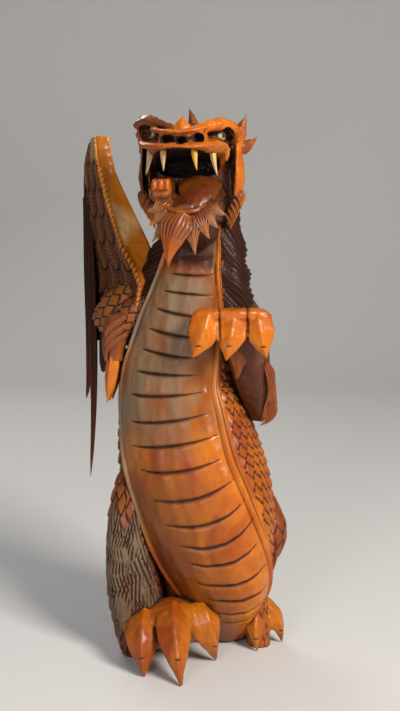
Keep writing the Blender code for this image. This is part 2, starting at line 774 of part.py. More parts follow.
dragon = body()
shape(dragon, "DIFFERENCE", "belly cuts", groove_cutters())
shape(dragon, "UNION", "head", on_head(upper_head() + lower_jaw()))
shape(dragon, "DIFFERENCE", "head hollows", on_head(head_hollows()))
shape(dragon, "UNION", "face", on_head(fangs() + eyes() + beard()))
shape(dragon, "UNION", "limbs", tail_and_rump() + left_arm() + right_arm() + right_leg() + left_leg())
shape(dragon, "UNION", "wing", wing_board() + wing_feathers())
shape(dragon, "UNION", "mane and fins", mane() + back_fins())
shape(dragon, "DIFFERENCE", "ground", ground())
tidy_up(dragon)
dragon.data.transform(Matrix.Diagonal((UNIT, UNIT, UNIT, 1)) @ Matrix.Translation(STAND))
dragon.data.materials.clear()
dragon.data.materials.append(stained_wood())
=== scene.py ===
import math

import bpy
import numpy as np
from mathutils import Matrix, Vector
from mathutils.bvhtree import BVHTree
from mathutils.kdtree import KDTree


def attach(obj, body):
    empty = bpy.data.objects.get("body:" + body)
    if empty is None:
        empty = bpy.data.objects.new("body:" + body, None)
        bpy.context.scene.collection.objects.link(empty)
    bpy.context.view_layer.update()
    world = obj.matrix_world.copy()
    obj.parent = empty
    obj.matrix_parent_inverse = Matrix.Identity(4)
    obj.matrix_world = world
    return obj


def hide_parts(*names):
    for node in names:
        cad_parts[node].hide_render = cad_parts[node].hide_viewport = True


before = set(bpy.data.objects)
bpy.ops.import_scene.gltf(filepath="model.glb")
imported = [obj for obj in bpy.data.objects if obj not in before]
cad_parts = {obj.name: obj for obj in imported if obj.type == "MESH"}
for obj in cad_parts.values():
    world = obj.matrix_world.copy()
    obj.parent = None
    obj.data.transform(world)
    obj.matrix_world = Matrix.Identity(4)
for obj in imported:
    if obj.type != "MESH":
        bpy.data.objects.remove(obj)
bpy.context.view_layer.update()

# The view and the light.
# The carving is seen from a little above its middle, from in front, in a plain pale studio with
# one broad lamp high on the right, a weaker one on the left and a soft glow from behind.

STAND = np.array((13.2, -1.3, 0.0))      # from the drawing's upright to the carving's middle, mm
MM = 0.001
PALE_FLOOR = (0.62, 0.61, 0.60, 1)
FOCAL_PIXELS, PHOTO_ROWS = 1046, 711


def new_mesh(name, points, faces):
    mesh = bpy.data.meshes.new(name)
    mesh.from_pydata(points, [], faces)
    mesh.validate()
    return mesh


def studio_floor():
    """A floor that sweeps up into a wall behind the carving."""
    profile = [(-3.0, 0.0), (1.6, 0.0)]
    bend_radius = 0.9
    for turn in np.radians(np.arange(7.5, 97, 7.5)):
        profile.append((1.6 + bend_radius * math.sin(turn), bend_radius * (1 - math.cos(turn))))
    profile.append((2.5, 4.0))
    points = [(x, y, z) for x in (-4.0, 4.0) for y, z in profile]
    count = len(profile)
    faces = [(k, k + 1, count + k + 1, count + k) for k in range(count - 1)]
    mesh = new_mesh("studio_floor", points, faces)
    mesh.shade_smooth()
    floor = bpy.data.objects.new("studio_floor", mesh)
    bpy.context.scene.collection.objects.link(floor)
    paper = bpy.data.materials.new("pale_paper")
    paper.use_nodes = True
    shader = paper.node_tree.nodes["Principled BSDF"]
    shader.inputs["Base Color"].default_value = PALE_FLOOR
    shader.inputs["Roughness"].default_value = 0.85
    mesh.materials.append(paper)
    return floor


def softbox(name, place, aim, size, watts, colour):
    lamp = bpy.data.lights.new(name, "AREA")
    lamp.shape = "RECTANGLE"
    lamp.size, lamp.size_y = size
    lamp.energy = watts
    lamp.color = colour
    made = bpy.data.objects.new(name, lamp)
    made.location = place
    made.rotation_euler = (Vector(aim) - Vector(place)).to_track_quat("-Z", "Y").to_euler()
    bpy.context.scene.collection.objects.link(made)
    return made


studio_floor()
softbox("key_softbox", (1.1, -1.4, 1.3), (0, 0, 0.28), (0.6, 0.6), 56, (1.0, 0.95, 0.88))
softbox("fill_softbox", (-0.6, -1.7, 0.7), (0, 0, 0.28), (0.5, 0.9), 10.5, (0.90, 0.95, 1.0))
softbox("back_softbox", (-0.7, 1.3, 1.5), (0, 0, 0.3), (0.9, 0.6), 10, (1.0, 0.97, 0.93))
studio = bpy.data.worlds.new("studio")
studio.use_nodes = True
studio.node_tree.nodes["Background"].inputs["Color"].default_value = (0.80, 0.82, 0.85, 1)
studio.node_tree.nodes["Background"].inputs["Strength"].default_value = 0.24
bpy.context.scene.world = studio

lens = bpy.data.cameras.new("camera")
lens.sensor_fit = "VERTICAL"
lens.sensor_height = 36.0
lens.lens = lens.sensor_height * FOCAL_PIXELS / PHOTO_ROWS
camera = bpy.data.objects.new("camera", lens)
camera.location = (0.0132, -0.9513, 0.400)
camera.rotation_euler = (math.radians(90 - 7.2), 0, 0)
bpy.context.scene.collection.objects.link(camera)
bpy.context.scene.camera = camera
bpy.context.scene.view_settings.view_transform = "Standard"

# The torso.
# One thick column of the log, carved into neck, chest and belly in a single S-curve: smooth belly
# plates parted by V-gouge cuts, a bead down each side of them, and scales over the flanks and back.

# x, y, z, half width, depth in front, depth behind, half the belly's angle, turn to the right
BODY = (
    (-6, -8, 462, 24, 22, 24, 40, 10),
    (-2, -6, 430, 27, 24, 27, 42, 14),
    (2, -4, 394, 29, 28, 30, 43, 16),
    (-2, -3, 358, 35, 33, 34, 46, 17),
    (-6, -2, 331, 40, 37, 36, 53, 17),
    (-14, 0, 294, 47, 42, 38, 56, 17),
    (-20, 2, 257, 52, 46, 40, 56, 17),
    (-15, 3, 220, 60, 50, 42, 51, 17),
    (-8, 3, 182, 66, 54, 45, 48, 15),
    (3, 3, 144, 65, 57, 48, 53, 13),
    (13, 6, 106, 58, 55, 48, 63, 9),
    (22, 12, 67, 46, 48, 42, 72, -2),
    (26, 22, 35, 33, 34, 34, 77, -8),
    (27, 32, 10, 22, 22, 26, 78, -10),
)
BODY_SQUARENESS = 2.3
BEAD_ANGLE = math.radians(4.5)
BEAD_HEIGHT = 2.2
# How far down the body, and the share of the belly's half angle at which each border lies
BORDER = (
    (0, 1.0, 1.0),
    (0.25, 1.1, 0.98),
    (0.42, 0.94, 0.96),
    (0.48, 1.08, 0.94),
    (0.57, 1.06, 0.95),
    (0.65, 0.94, 0.94),
    (0.84, 0.8, 0.92),
    (1, 0.78, 0.92),
)
# Each belly cut: place and share across the belly at its two ends and its middle
BELLY_CUTS = (
    (0.205, -0.40, 0.202, 0.20, 0.197, 0.84),
    (0.240, -0.55, 0.237, 0.18, 0.230, 0.86),
    (0.290, -0.58, 0.286, -0.02, 0.279, 0.80),
    (0.331, -0.60, 0.331, -0.16, 0.325, 0.60),
    (0.367, -0.58, 0.367, -0.09, 0.360, 0.55),
    (0.405, -0.58, 0.404, -0.15, 0.396, 0.55),
    (0.441, -0.59, 0.438, -0.06, 0.426, 0.64),
    (0.471, -0.68, 0.473, 0.05, 0.466, 0.73),
    (0.511, -0.73, 0.518, 0.01, 0.514, 0.78),
    (0.559, -0.70, 0.564, 0.07, 0.555, 0.88),
    (0.599, -0.62, 0.609, 0.06, 0.600, 0.84),
    (0.646, -0.52, 0.660, 0.15, 0.646, 0.90),
    (0.690, -0.42, 0.703, 0.12, 0.683, 0.90),
    (0.728, -0.30, 0.743, 0.16, 0.716, 0.90),
    (0.762, -0.27, 0.777, 0.16, 0.755, 0.88),
    (0.799, -0.30, 0.816, 0.12, 0.806, 0.84),
    (0.833, -0.26, 0.848, 0.15, 0.842, 0.76),
    (0.864, -0.24, 0.877, 0.10, 0.873, 0.66),
    (0.893, -0.20, 0.905, 0.10, 0.902, 0.60),
)
CUT_DEPTH = 3.0
SCALE_TALL, SCALE_WIDE, SCALE_HEIGHT = 11.0, 9.4, 2.8
SCALE_POINT = 0.34                       # how far a scale's point reaches past its sides, of its height


def along(stations, t):
    """Rows of numbers on a smooth line through the stations, at t from 0 to 1."""
    rows = np.array(stations, float)
    last = len(rows) - 1
    place = np.clip(np.atleast_1d(np.asarray(t, float)), 0, 1) * last
    i = np.minimum(place.astype(int), last - 1)
    f = (place - i)[:, None]
    here, after = rows[i], rows[i + 1]
    before = np.where(i[:, None] > 0, rows[np.maximum(i - 1, 0)], 2 * here - after)
    beyond = np.where(i[:, None] < last - 1, rows[np.minimum(i + 2, last)], 2 * after - here)
    return 0.5 * (
        2 * here
        + (after - before) * f
        + (2 * before - 5 * here + 4 * after - beyond) * f**2
        + (3 * here - before - 3 * after + beyond) * f**3
    )


def unit(rows):
    return rows / np.maximum(np.linalg.norm(rows, axis=-1, keepdims=True), 1e-9)


def ease(low, high, value):
    """0 below low, 1 above high and a smooth rise between."""
    t = np.clip((value - low) / (high - low), 0, 1)
    return t * t * (3 - 2 * t)


def run(points, axis=0):
    """How far along its line each point lies."""
    steps = np.linalg.norm(np.diff(points, axis=axis), axis=-1)
    none = np.zeros_like(np.take(steps, [0], axis=axis))
    return np.concatenate([none, np.cumsum(steps, axis=axis)], axis=axis)


def pairs(first, second):
    """Two numbers for each point, as the noise helpers want them."""
    return np.stack(np.broadcast_arrays(first, second), axis=-1)


def frames(centres, facing):
    """For each ring: its tangent, its front (facing, squared to the tangent) and its side."""
    tangent = unit(np.gradient(centres, axis=0))
    facing = np.broadcast_to(np.asarray(facing, float), centres.shape)
    front = unit(facing - tangent * np.sum(facing * tangent, axis=1, keepdims=True))
    return tangent, front, np.cross(front, tangent)


def swept(centres, front, side, wide, deep):
    """Rings of points about their centres, so wide to the side and so deep to the front."""
    return centres[:, None] + side[:, None] * wide[..., None] + front[:, None] * deep[..., None]


def rounded(angle, squareness):
    """Sine and cosine of a ring's angles, pushed out towards a rounded square."""
    s, c = np.sin(angle), np.cos(angle)
    reach = (np.abs(s) ** squareness + np.abs(c) ** squareness) ** (-1 / squareness)
    return s * reach, c * reach


def scattered(cells, seed):
    """A number from 0 to 1 for each whole-numbered cell, the same in every run."""
    mixed = np.full(cells.shape[:-1], seed * 374761393 + 668265263, np.int64)
    for k, prime in zip(range(cells.shape[-1]), (73856093, 19349663, 83492791)):
        mixed = (mixed ^ (cells[..., k].astype(np.int64) * prime)) * 1274126177 % 4294967296
        mixed ^= mixed >> 13
    return (mixed % 65536) / 65535.0


def body_skin(table, angles, share=1.0):
    """The skin of the body, or of a share of it, at rows of BODY and angles round from its belly."""
    turn = np.radians(table[:, 7])
    facing = np.stack([-np.sin(turn), -np.cos(turn), 0 * turn], axis=1)
    _, front, side = frames(table[:, :3], facing)
    s, c = rounded(angles, BODY_SQUARENESS)
    depth = np.where(c > 0, table[:, 4:5], table[:, 5:6])
    return swept(table[:, :3], front, side, table[:, 3:4] * s * share, depth * c * share)


def clouds(place, seed):
    """Soft noise from 0 to 1, its lumps about one step across."""
    cell = np.floor(place).astype(np.int64)
    f = place - cell
    f = f * f * (3 - 2 * f)
    total = 0.0
    ways = place.shape[-1]
    for corner in range(2**ways):
        step = np.array([(corner >> k) & 1 for k in range(ways)])
        weight = np.prod(np.where(step, f, 1 - f), axis=-1)
        total = total + weight * scattered(cell + step, seed)
    return total


def gouged(points, size, seed):
    """Shallow gouge strokes: how proud each point stands, lowest in the middle of a stroke."""
    place = np.asarray(points, float) / size
    cell = np.floor(place).astype(np.int64)
    ways = place.shape[-1]
    nearest = np.full(place.shape[:-1], 9.0)
    for k in range(3**ways):
        near = cell + np.array([k // 3**n % 3 - 1 for n in range(ways)])
        spot = np.stack([scattered(near, seed + 11 * n + 1) for n in range(ways)], axis=-1)
        nearest = np.minimum(nearest, np.sum((near + 0.15 + 0.7 * spot - place) ** 2, axis=-1))
    return np.clip(nearest, 0, 1) - 0.3


def combed(down, across, spacing, seed, sway=1.4):
    """Strands parted by a V-gouge: 0 on a strand's crest and 1 at the bottom of a cut."""
    drift = clouds(pairs(down / (spacing * 9), across / (spacing * 5)), seed) - 0.5
    place = across / spacing + sway * drift * 2
    strand = np.floor(place)
    valley = np.abs((place - strand) - 0.5) * 2
    breaks = clouds(pairs(down / (spacing * 7) + 7.3 * strand, strand * 1.7), seed + 5)
    return valley**1.6 * ease(0.12, 0.42, breaks)


def scaly(down, across, tall, wide):
    """Pointed scales in staggered rows: how proud each point stands, and how dark it is painted just
    below the step of the scale above, as that step's painted shade.
    """
    after = np.full(down.shape, 1e9)
    before = -after
    first = np.floor(down / tall)
    for k in (-1, 0, 1, 2):
        row = first + k
        zig = np.abs((across / wide + 0.5 * row) % 1 - 0.5) * 2
        edge = (row + SCALE_POINT * (0.5 - zig) * 2) * tall
        after = np.where(edge > down, np.minimum(after, edge), after)
        before = np.where(edge <= down, np.maximum(before, edge), before)
    rise = np.clip((down - before) / np.maximum(after - before, 0.5), 0, 1)
    lip = np.clip((after - down) / (0.1 * tall), 0, 1)
    # painted shade: a dark strip just below the step of the scale above
    cut = np.clip(1.5 - (down - before) / (0.28 * tall), 0, 1)
    return rise * lip - 0.3, cut


def grid_normals(skin):
    """The outward way at each point of a skin of rings."""
    middle = skin.mean(axis=1, keepdims=True)
    down = np.gradient(skin, axis=0)
    around = np.roll(skin, -1, axis=1) - np.roll(skin, 1, axis=1)
    out = unit(np.cross(down, around))
    inward = np.sum(out * (skin - middle), axis=(1, 2), keepdims=True) < 0
    return np.where(inward, -out, out)


def six_volumes(points, faces):
    """Six times the volume within closed faces, below 0 if they look inwards."""
    a, b, c = (points[faces[:, m]] for m in range(3))
    return np.sum(a * np.cross(b, c))


def shell(skin, start, end, lift=None, **marks):
    """A closed skin over rings of points, with a pole at each end; lift pushes it outwards."""
    if lift is not None:
        skin = skin + grid_normals(skin) * lift[..., None]
    rings, around = skin.shape[:2]
    points = np.vstack([skin.reshape(-1, 3), [start], [end]])
    k, j = np.meshgrid(np.arange(rings - 1) * around, np.arange(around), indexing="ij")
    n = (j + 1) % around
    quads = np.stack([k + j, k + n, k + around + n, k + around + j], -1).reshape(-1, 4)
    j, n = j[0], n[0]
    first, last, base = rings * around, rings * around + 1, (rings - 1) * around
    lid = np.stack([0 * j + first, n, j], -1)
    floor = np.stack([0 * j + last, base + j, base + n], -1)
    tris = np.vstack([lid, floor])
    kept = {}
    for name, value in marks.items():
        value = np.broadcast_to(value, (rings, around)).reshape(-1)
        kept[name] = np.concatenate([value, [value[0], value[-1]]])
    if sum(six_volumes(points, faces) for faces in (quads[:, :3], quads[:, [0, 2, 3]], tris)) < 0:
        quads, tris = quads[:, ::-1], tris[:, ::-1]
    return points, quads, tris, kept


# Marks kept on each point for the stain: cuts, partly stain and partly painted shade; umber stain and
# painted shade; pale paint and painted sheen; and painted occlusion shade
MARKS = ("cut", "umber", "ash", "occlusion_shade")


def joined(name, shells):
    """Several closed skins as one mesh, with its points and their marks."""
    points, quads, tris, offset = [], [], [], 0
    marks = {mark: [] for mark in MARKS}
    for p, q, t, kept in shells:
        points.append(p)
        quads += (q + offset).tolist()
        tris += (t + offset).tolist()
        for mark in MARKS:
            marks[mark].append(kept.get(mark, np.zeros(len(p))))
        offset += len(p)
    points = np.vstack(points)
    marks = {mark: np.concatenate(values) for mark, values in marks.items()}
    return new_mesh(name, points.tolist(), quads + tris), points, marks


def carving(name, mesh, marks, finish):
    """A finished piece of the carving: its marks kept for the stain, smooth, and brought to size."""
    for mark in MARKS:
        spot = mesh.attributes.new(mark, "FLOAT", "POINT")
        spot.data.foreach_set("value", np.clip(marks[mark], 0, 1).astype(np.float32))
    mesh.shade_smooth()
    mesh.transform(Matrix.Scale(MM, 4) @ Matrix.Translation(STAND))
    mesh.materials.append(finish)
    made = bpy.data.objects.new(name, mesh)
    bpy.context.scene.collection.objects.link(made)
    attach(made, "root")
    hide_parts("dragon")
    return made


def piece(name, shells, finish):
    mesh, _, marks = joined(name, shells)
    return carving(name, mesh, marks, finish)


# The stain's colours: pale paint, also used as painted sheen; umber, also used as painted shade; and the
# near black of the cuts, partly stain and partly painted shade
PALE_AND_SHEEN = (0.215, 0.165, 0.095)
UMBER_AND_SHADE = (0.028, 0.0065, 0.003)
CUT_STAIN_AND_SHADE = (0.016, 0.005, 0.002)


def mixed(first, second, share):
    return tuple(a * (1 - share) + b * share for a, b in zip(first, second))


def stained_wood(name, light, deep, ash=PALE_AND_SHEEN, gloss=0.30, ior=1.37):
    """Lacquered wood: a light and a deep stain that run into each other along the grain; umber stain
    and painted shade, and pale paint and painted sheen, where the piece is marked so; near-black cuts,
    partly stain and partly painted shade; painted occlusion shade in recesses; gouge facets and pores."""
    wood = bpy.data.materials.new(name)
    wood.use_nodes = True
    nodes, links = wood.node_tree.nodes, wood.node_tree.links

    def plug(made, inputs):
        """Each input takes a number, a colour or another node's output."""
        for key, value in inputs.items():
            socket = made.inputs[key]
            if isinstance(value, bpy.types.NodeSocket):
                links.new(value, socket)
            else:
                socket.default_value = (*value, 1) if socket.type == "RGBA" else value

    def node(kind, inputs, output=0, **settings):
        made = nodes.new("ShaderNode" + kind)
        for setting, value in settings.items():
            setattr(made, setting, value)
        plug(made, inputs)
        return made.outputs[output]

    place = node("TexCoord", {}, "Object")

    def stretched(scale):
        return node("Mapping", {"Scale": scale, "Vector": place})

    def noise(scale, stretch, detail, rough=0.5, twist=0.0):
        inputs = {"Scale": scale, "Detail": detail, "Roughness": rough, "Distortion": twist}
        return node("TexNoise", {**inputs, "Vector": stretched(stretch)}, "Fac")

    def ramp(value, *stops):
        band = nodes.new("ShaderNodeValToRGB")
        elements = band.color_ramp.elements
        for element, (at, colour) in zip(elements, (stops[0], stops[-1])):
            element.position, element.color = at, (*colour, 1)
        for at, colour in stops[1:-1]:
            elements.new(at).color = (*colour, 1)
        plug(band, {"Fac": value})
        return band.outputs["Color"]

    def fit(value, low, high, to_low, to_high):
        inputs = {"Value": value, "From Min": low, "From Max": high, "To Min": to_low, "To Max": to_high}
        return node("MapRange", inputs, "Result", interpolation_type="SMOOTHSTEP")

    def blend(share, first, second):
        return node("Mix", {0: share, 6: first, 7: second}, 2, data_type="RGBA")

    def figured(way, first, second):
        return node("Math", {0: first, 1: second}, operation=way, use_clamp=True)

    def mark(called):
        return node("Attribute", {}, "Fac", attribute_name=called)

    grain = noise(420, (1, 1, 0.05), 4, 0.6, 0.4)
    pores = noise(1500, (1, 1, 0.09), 2)
    pools = noise(26, (1, 1, 0.55), 4, 0.55, 0.6)
    stain = ramp(pools, (0.34, deep), (0.5, mixed(light, deep, 0.5)), (0.66, light))
    stain = blend(fit(grain, 0.35, 0.7, 0.0, 0.55), stain, blend(0.5, stain, deep))
    chips = node("TexVoronoi", {"Scale": 66, "Vector": stretched((1, 1, 0.6))}, "Color")
    stain = blend(fit(chips, 0.3, 0.75, 0.0, 0.5), stain, blend(0.6, stain, deep))
    # the umber mark: umber stain, and painted shade on the sides and parts that lie in shade
    umber = figured("MULTIPLY", mark("umber"), fit(noise(38, (1, 1, 0.6), 3), 0.3, 0.6, 1.0, 0.93))
    stain = blend(umber, stain, ramp(grain, (0.3, UMBER_AND_SHADE), (0.72, mixed(deep, UMBER_AND_SHADE, 0.9))))
    # the pale mark: pale paint, and painted sheen where light would shine off the lacquer
    pale_and_sheen_share = figured("MULTIPLY", mark("ash"), fit(noise(60, (1, 1, 0.4), 4), 0.3, 0.62, 1.0, 0.6))
    stain = blend(pale_and_sheen_share, stain, ramp(grain, (0.3, tuple(0.66 * a for a in ash)), (0.75, ash)))
    # painted occlusion shade: darkened wherever nearby walls enclose a point
    stain = blend(fit(mark("occlusion_shade"), 0.3, 0.95, 0.0, 0.85), stain, UMBER_AND_SHADE)
    # the cut mark: stain gathered in the cuts, and painted shade in the mouth, the hollows and under
    # overhanging edges
    stain = blend(fit(mark("cut"), 0.1, 0.85, 0.0, 0.95), stain, CUT_STAIN_AND_SHADE)
    rough = fit(pools, 0.3, 0.7, gloss + 0.12, gloss)
    for called, low, rise in (("cut", 0.0, 0.5), ("ash", 0.0, 0.16), ("occlusion_shade", 0.3, 0.4)):
        rough = figured("ADD", rough, fit(mark(called), low, 1.0, 0.0, rise))
    inputs = {"Scale": 150, "Smoothness": 0.35, "Vector": stretched((1, 1, 0.55))}
    facets = node("TexVoronoi", inputs, "Distance", feature="SMOOTH_F1")
    heights = figured("ADD", figured("MULTIPLY", grain, 0.25), figured("MULTIPLY", pores, 0.12))
    fine = node("Bump", {"Strength": 0.35, "Distance": 0.0006, "Height": heights})
    broad = node("Bump", {"Strength": 0.4, "Distance": 0.0011, "Height": facets, "Normal": fine})
    lacquer = {"IOR": ior, "Coat Weight": 0.08, "Coat Roughness": 0.16}
    plug(nodes["Principled BSDF"], {**lacquer, "Base Color": stain, "Roughness": rough, "Normal": broad})
    return wood


def torso():
    places = np.linspace(0.06, 1, 370)
    table = along(BODY, places)
    belly = np.radians(table[:, 6:7])
    at, left_share, right_share = np.array(BORDER).T
    bead = np.linspace(-1, 1, 11)
    fanned = np.concatenate([np.linspace(0, 0.42, 56), np.linspace(0.42, 1, 22)[1:]])
    halves = []
    for share in (right_share, left_share):
        border = belly * np.interp(places, at, share)[:, None]
        inner = (border - BEAD_ANGLE) * np.linspace(0, 1, 24)[1:-1]
        outer = border + BEAD_ANGLE + (math.pi - border - BEAD_ANGLE) * fanned[1:]
        halves.append((inner, border + BEAD_ANGLE * bead, outer))
    (ri, rb, ro), (li, lb, lo) = halves
    angles = np.hstack([ri, rb, ro, -lo[:, -2::-1], -lb[:, ::-1], -li[:, ::-1], ri[:, :1] * 0])
    # belly, right bead, back, left bead and belly again
    counts = [ri.shape[1], len(bead), ro.shape[1] + lo.shape[1] - 1, len(bead), li.shape[1] + 1]
    zone = np.repeat([0, 1, 2, 1, 0], counts)
    on_belly, on_bead, on_back = zone == 0, zone == 1, zone == 2
    beads = np.where(on_belly, -9.0, 9.0)
    beads[on_bead] = np.concatenate([bead, bead[::-1]])
    skin = body_skin(table, angles)
    down = run(table[:, :3])[:, None] + 0 * angles
    across = run(skin, 1)
    right_edge, left_edge = (across[:, [k]] for k in (counts[0] + 10, sum(counts[:3])))
    on_right = angles > 0
    from_border = np.where(on_right, across - right_edge, left_edge - across)
    share = angles / belly
    place = places[:, None] + 0 * angles
    # belly plates
    lift, cut = np.zeros(angles.shape), np.zeros(angles.shape)
    for a, sa, m, sm, b, sb in BELLY_CUTS:
        line = np.polyval(np.polyfit((sa, sm, sb), (a, m, b), 2), share)
        full = np.sin(math.pi * np.clip((share - sa) / (sb - sa), 0, 1) ** 0.75) ** 0.6
        off = (place - line) * down[-1, 0]
        slope = np.where(off < 0, -off / (1.7 * full + 0.01), off / (3.2 * full + 0.01))
        groove = np.clip(1 - slope, 0, 1) * ((share > sa) & (share < sb))
        lift -= CUT_DEPTH * full * groove
        # each cut is darkened as stain in the cut and as painted shade: fully on its steep upper wall, and
        # on its gentler lower wall, which would catch the light, only near the bottom
        cut = np.maximum(cut, groove**0.8 * np.where(off < 0, 1.0, ease(0.12, 0.6, groove)))
    across_belly = share * belly * table[:, 3:4]
    lift += on_belly * 2.3 * (gouged(pairs(across_belly / 12.5, down / 27), 1.0, 3) + 0.05)
    # border beads
    ridge = np.clip(1 - (beads / 0.5) ** 2, 0, 1)
    gutter = np.clip(1 - ((np.abs(beads) - 0.78) / 0.24) ** 2, 0, 1)
    fade = ease(0.1, 0.2, place) * (1 - ease(0.86, 0.94, place))
    lift += (BEAD_HEIGHT * ridge - 1.4 * gutter) * fade
    cut = np.maximum(cut, gutter * 0.75 * fade)
    # flank scales, and broad ones on the back
    shrink = 1 - ease(48, 60, from_border)
    scales = on_back * ease(2.5, 5, from_border) * ease(0.30, 0.36, place)
    scale, scale_cut = scaly(down - 0.30 * from_border, from_border, SCALE_TALL, SCALE_WIDE)
    lift += SCALE_HEIGHT * scales * scale * shrink
    cut = np.maximum(cut, scales * scale_cut * shrink)
    scale, scale_cut = scaly(down, from_border, 20, 22)
    lift += 1.6 * scales * scale * (1 - shrink)
    cut = np.maximum(cut, 0.8 * scales * scale_cut * (1 - shrink))
    # combed neck
    hair = on_back * ease(0.5, 3, from_border) * (1 - ease(0.30, 0.36, place)) * ease(0.06, 0.1, place)
    strands = combed(down + 0.8 * from_border, from_border - down * 0.55, 3.1, 7)
    lift -= 1.3 * hair * strands
    cut = np.maximum(cut, hair * strands * 0.8)
    lift += on_back * 0.8 * gouged(skin, 15, 9)
    # painted shade: the top of the neck, under the head and the beard, is darkened as a cut
    cut = np.maximum(cut, np.maximum(ease(0.13, 0.07, place), 0.45 * ease(0.215, 0.17, place)))
    # stain, with painted light: shade painted on the left of the back and further round it, under the chin
    # and on the lower left of the belly; the upper belly darker; sheen painted pale on the upper left of
    # the belly and on the beads
    rightward = ease(-0.4, 0.4, np.sin(angles))
    umber = 0.8 - (0.25 + 0.35 * ease(0.42, 0.6, place)) * rightward + 0.35 * ease(60, 110, from_border)
    umber = np.where(on_back, umber, 0.95 * on_belly * (1 - ease(0.195, 0.235, place)))
    umber += on_belly * ease(0.8, -0.4, share) * 0.72 * ease(0.5, 0.66, place)
    umber += on_belly * 0.55 * (1 - ease(0.5, 0.6, place))
    patches = clouds(pairs(across_belly / 10, down / 24), 21)
    upper_left = 0.72 - 0.6 * share - 1.7 * (place - 0.42) + 0.9 * (patches - 0.5)
    ash = on_belly * 0.82 * ease(0.1, 0.85, upper_left)
    ash *= ease(0.22, 0.26, place) * (1 - ease(0.5, 0.62, place))
    left_bead = 0.95 * ease(0.2, 0.26, place) * (1 - ease(0.66, 0.74, place))
    right_bead = 0.35 * ease(0.3, 0.4, place) * (1 - ease(0.5, 0.6, place))
    ash = np.where(on_bead, np.where(on_right, right_bead, left_bead), ash)
    start, end = table[0, :3] + (0, 0, 6), table[-1, :3] + (0, 3, -9)
    return shell(skin, start, end, lift, cut=cut, umber=umber, ash=ash)


honey = stained_wood("honey_stain", (0.46, 0.118, 0.006), (0.18, 0.028, 0.002), gloss=0.36)
bright_honey = stained_wood("bright_honey_stain", (0.63, 0.185, 0.006), (0.30, 0.05, 0.003), gloss=0.3)
piece("torso", [torso()], bright_honey)

# The haunches and the tail.
# The broad foot of the log behind the belly, and the thick tail that curls round to the dragon's
# right and lies on the ground: both scaled more plainly than the flanks.

RUMP = (
    (8, 20, 156, 44, 22),
    (6, 26, 118, 58, 28),
    (4, 28, 72, 60, 28),
    (4, 31, 30, 54, 24),
    (4, 33, -3, 44, 18),
)
TAIL = (
    (24, 26, 34, 32, 34),
    (27, 54, 24, 28, 28),
    (14, 76, 19, 22, 22),
    (-12, 84, 16, 18, 19),
    (-38, 76, 13, 15, 15),
    (-56, 58, 10, 11, 12),
    (-64, 38, 7, 6, 8),
)
FRONT, UP = (0, -1, 0), (0, 0, 1)


def limb(stations, facing, rings=60, around=60, squareness=2.4):
    """A tapering limb's skin, how far each point lies down and around it, and its two ends. Each
    station is x, y, z, half its width and half its depth."""
    table = along(stations, np.linspace(0, 1, rings))
    centres = table[:, :3]
    tangent, front, side = frames(centres, facing)
    angle = np.linspace(0, 2 * math.pi, around, endpoint=False)
    s, c = rounded(angle, squareness)
    skin = swept(centres, front, side, table[:, 3:4] * s, table[:, 4:5] * c)
    down = run(centres)[:, None] + 0 * angle
    across = (angle + 0 * down) * table[:, 3:5].mean()
    reach = 0.45 * table[:, 3:5].min(axis=1)
    return skin, down, across, centres[0] - tangent[0] * reach[0], centres[-1] + tangent[-1] * reach[-1]


def grounded(shells):
    """Shells with whatever falls below the ground brought up to it."""
    return [(np.maximum(points, (-math.inf, -math.inf, 0)), *rest) for points, *rest in shells]


def haunches():
    made = []
    for stations, facing, rings, around in ((RUMP, FRONT, 98, 180), (TAIL, UP, 150, 90)):
        skin, down, across, start, end = limb(stations, facing, rings, around)
        girth = across.max() * (1 + 1 / around)
        scale, cut = scaly(down, across, 11.5, girth / round(girth / 10))
        lift = 1.3 * scale + 0.8 * gouged(skin, 16, 2)
        made.append(shell(skin, start, end, lift, cut=0.8 * cut, umber=0.55))
    return grounded(made)


piece("haunches_and_tail", haunches(), honey)

# The fins.
# A row of low pointed plates left standing down the spine, carved from the same wood and lightly
# gouged on both faces.

FIN_COUNT = 9
# Outlines from root to tip, as shares of the full width and thickness
CLAW = ((1.0, 1.0), (1.0, 0.96), (0.9, 0.86), (0.62, 0.64), (0.3, 0.36))
LEAF = ((0.6, 0.7), (1.0, 1.0), (0.9, 0.95), (0.5, 0.6))
QUILLED = ((0.25, 0.4), (1.0, 1.0), (1.0, 1.0), (0.8, 0.85), (0.3, 0.5))
DIAMOND = ((0.5, 0.8), (1.0, 1.0), (0.72, 0.8), (0.4, 0.55), (0.12, 0.35))
POINTED = ((0.55, 0.75), (1.0, 1.0), (0.86, 0.92), (0.5, 0.66), (0.17, 0.4))
WEDGE = ((1.0, 1.0), (1.0, 1.0), (1.0, 0.92), (0.72, 0.74), (0.26, 0.4))
# Sections, starting from the ridge on the face
FLAT_BACK = ((0, 1), (1, 0.1), (0.6, -1), (-0.6, -1), (-1, 0.1))
RIDGED = ((0, 1), (1, 0), (0, -0.8), (-1, 0))
TIP_FROM = 0.88


def softened(rings, axis):
    """Rings with each point drawn towards the middle of its two neighbours."""
    return (np.roll(rings, 1, axis) + 2 * rings + np.roll(rings, -1, axis)) / 4


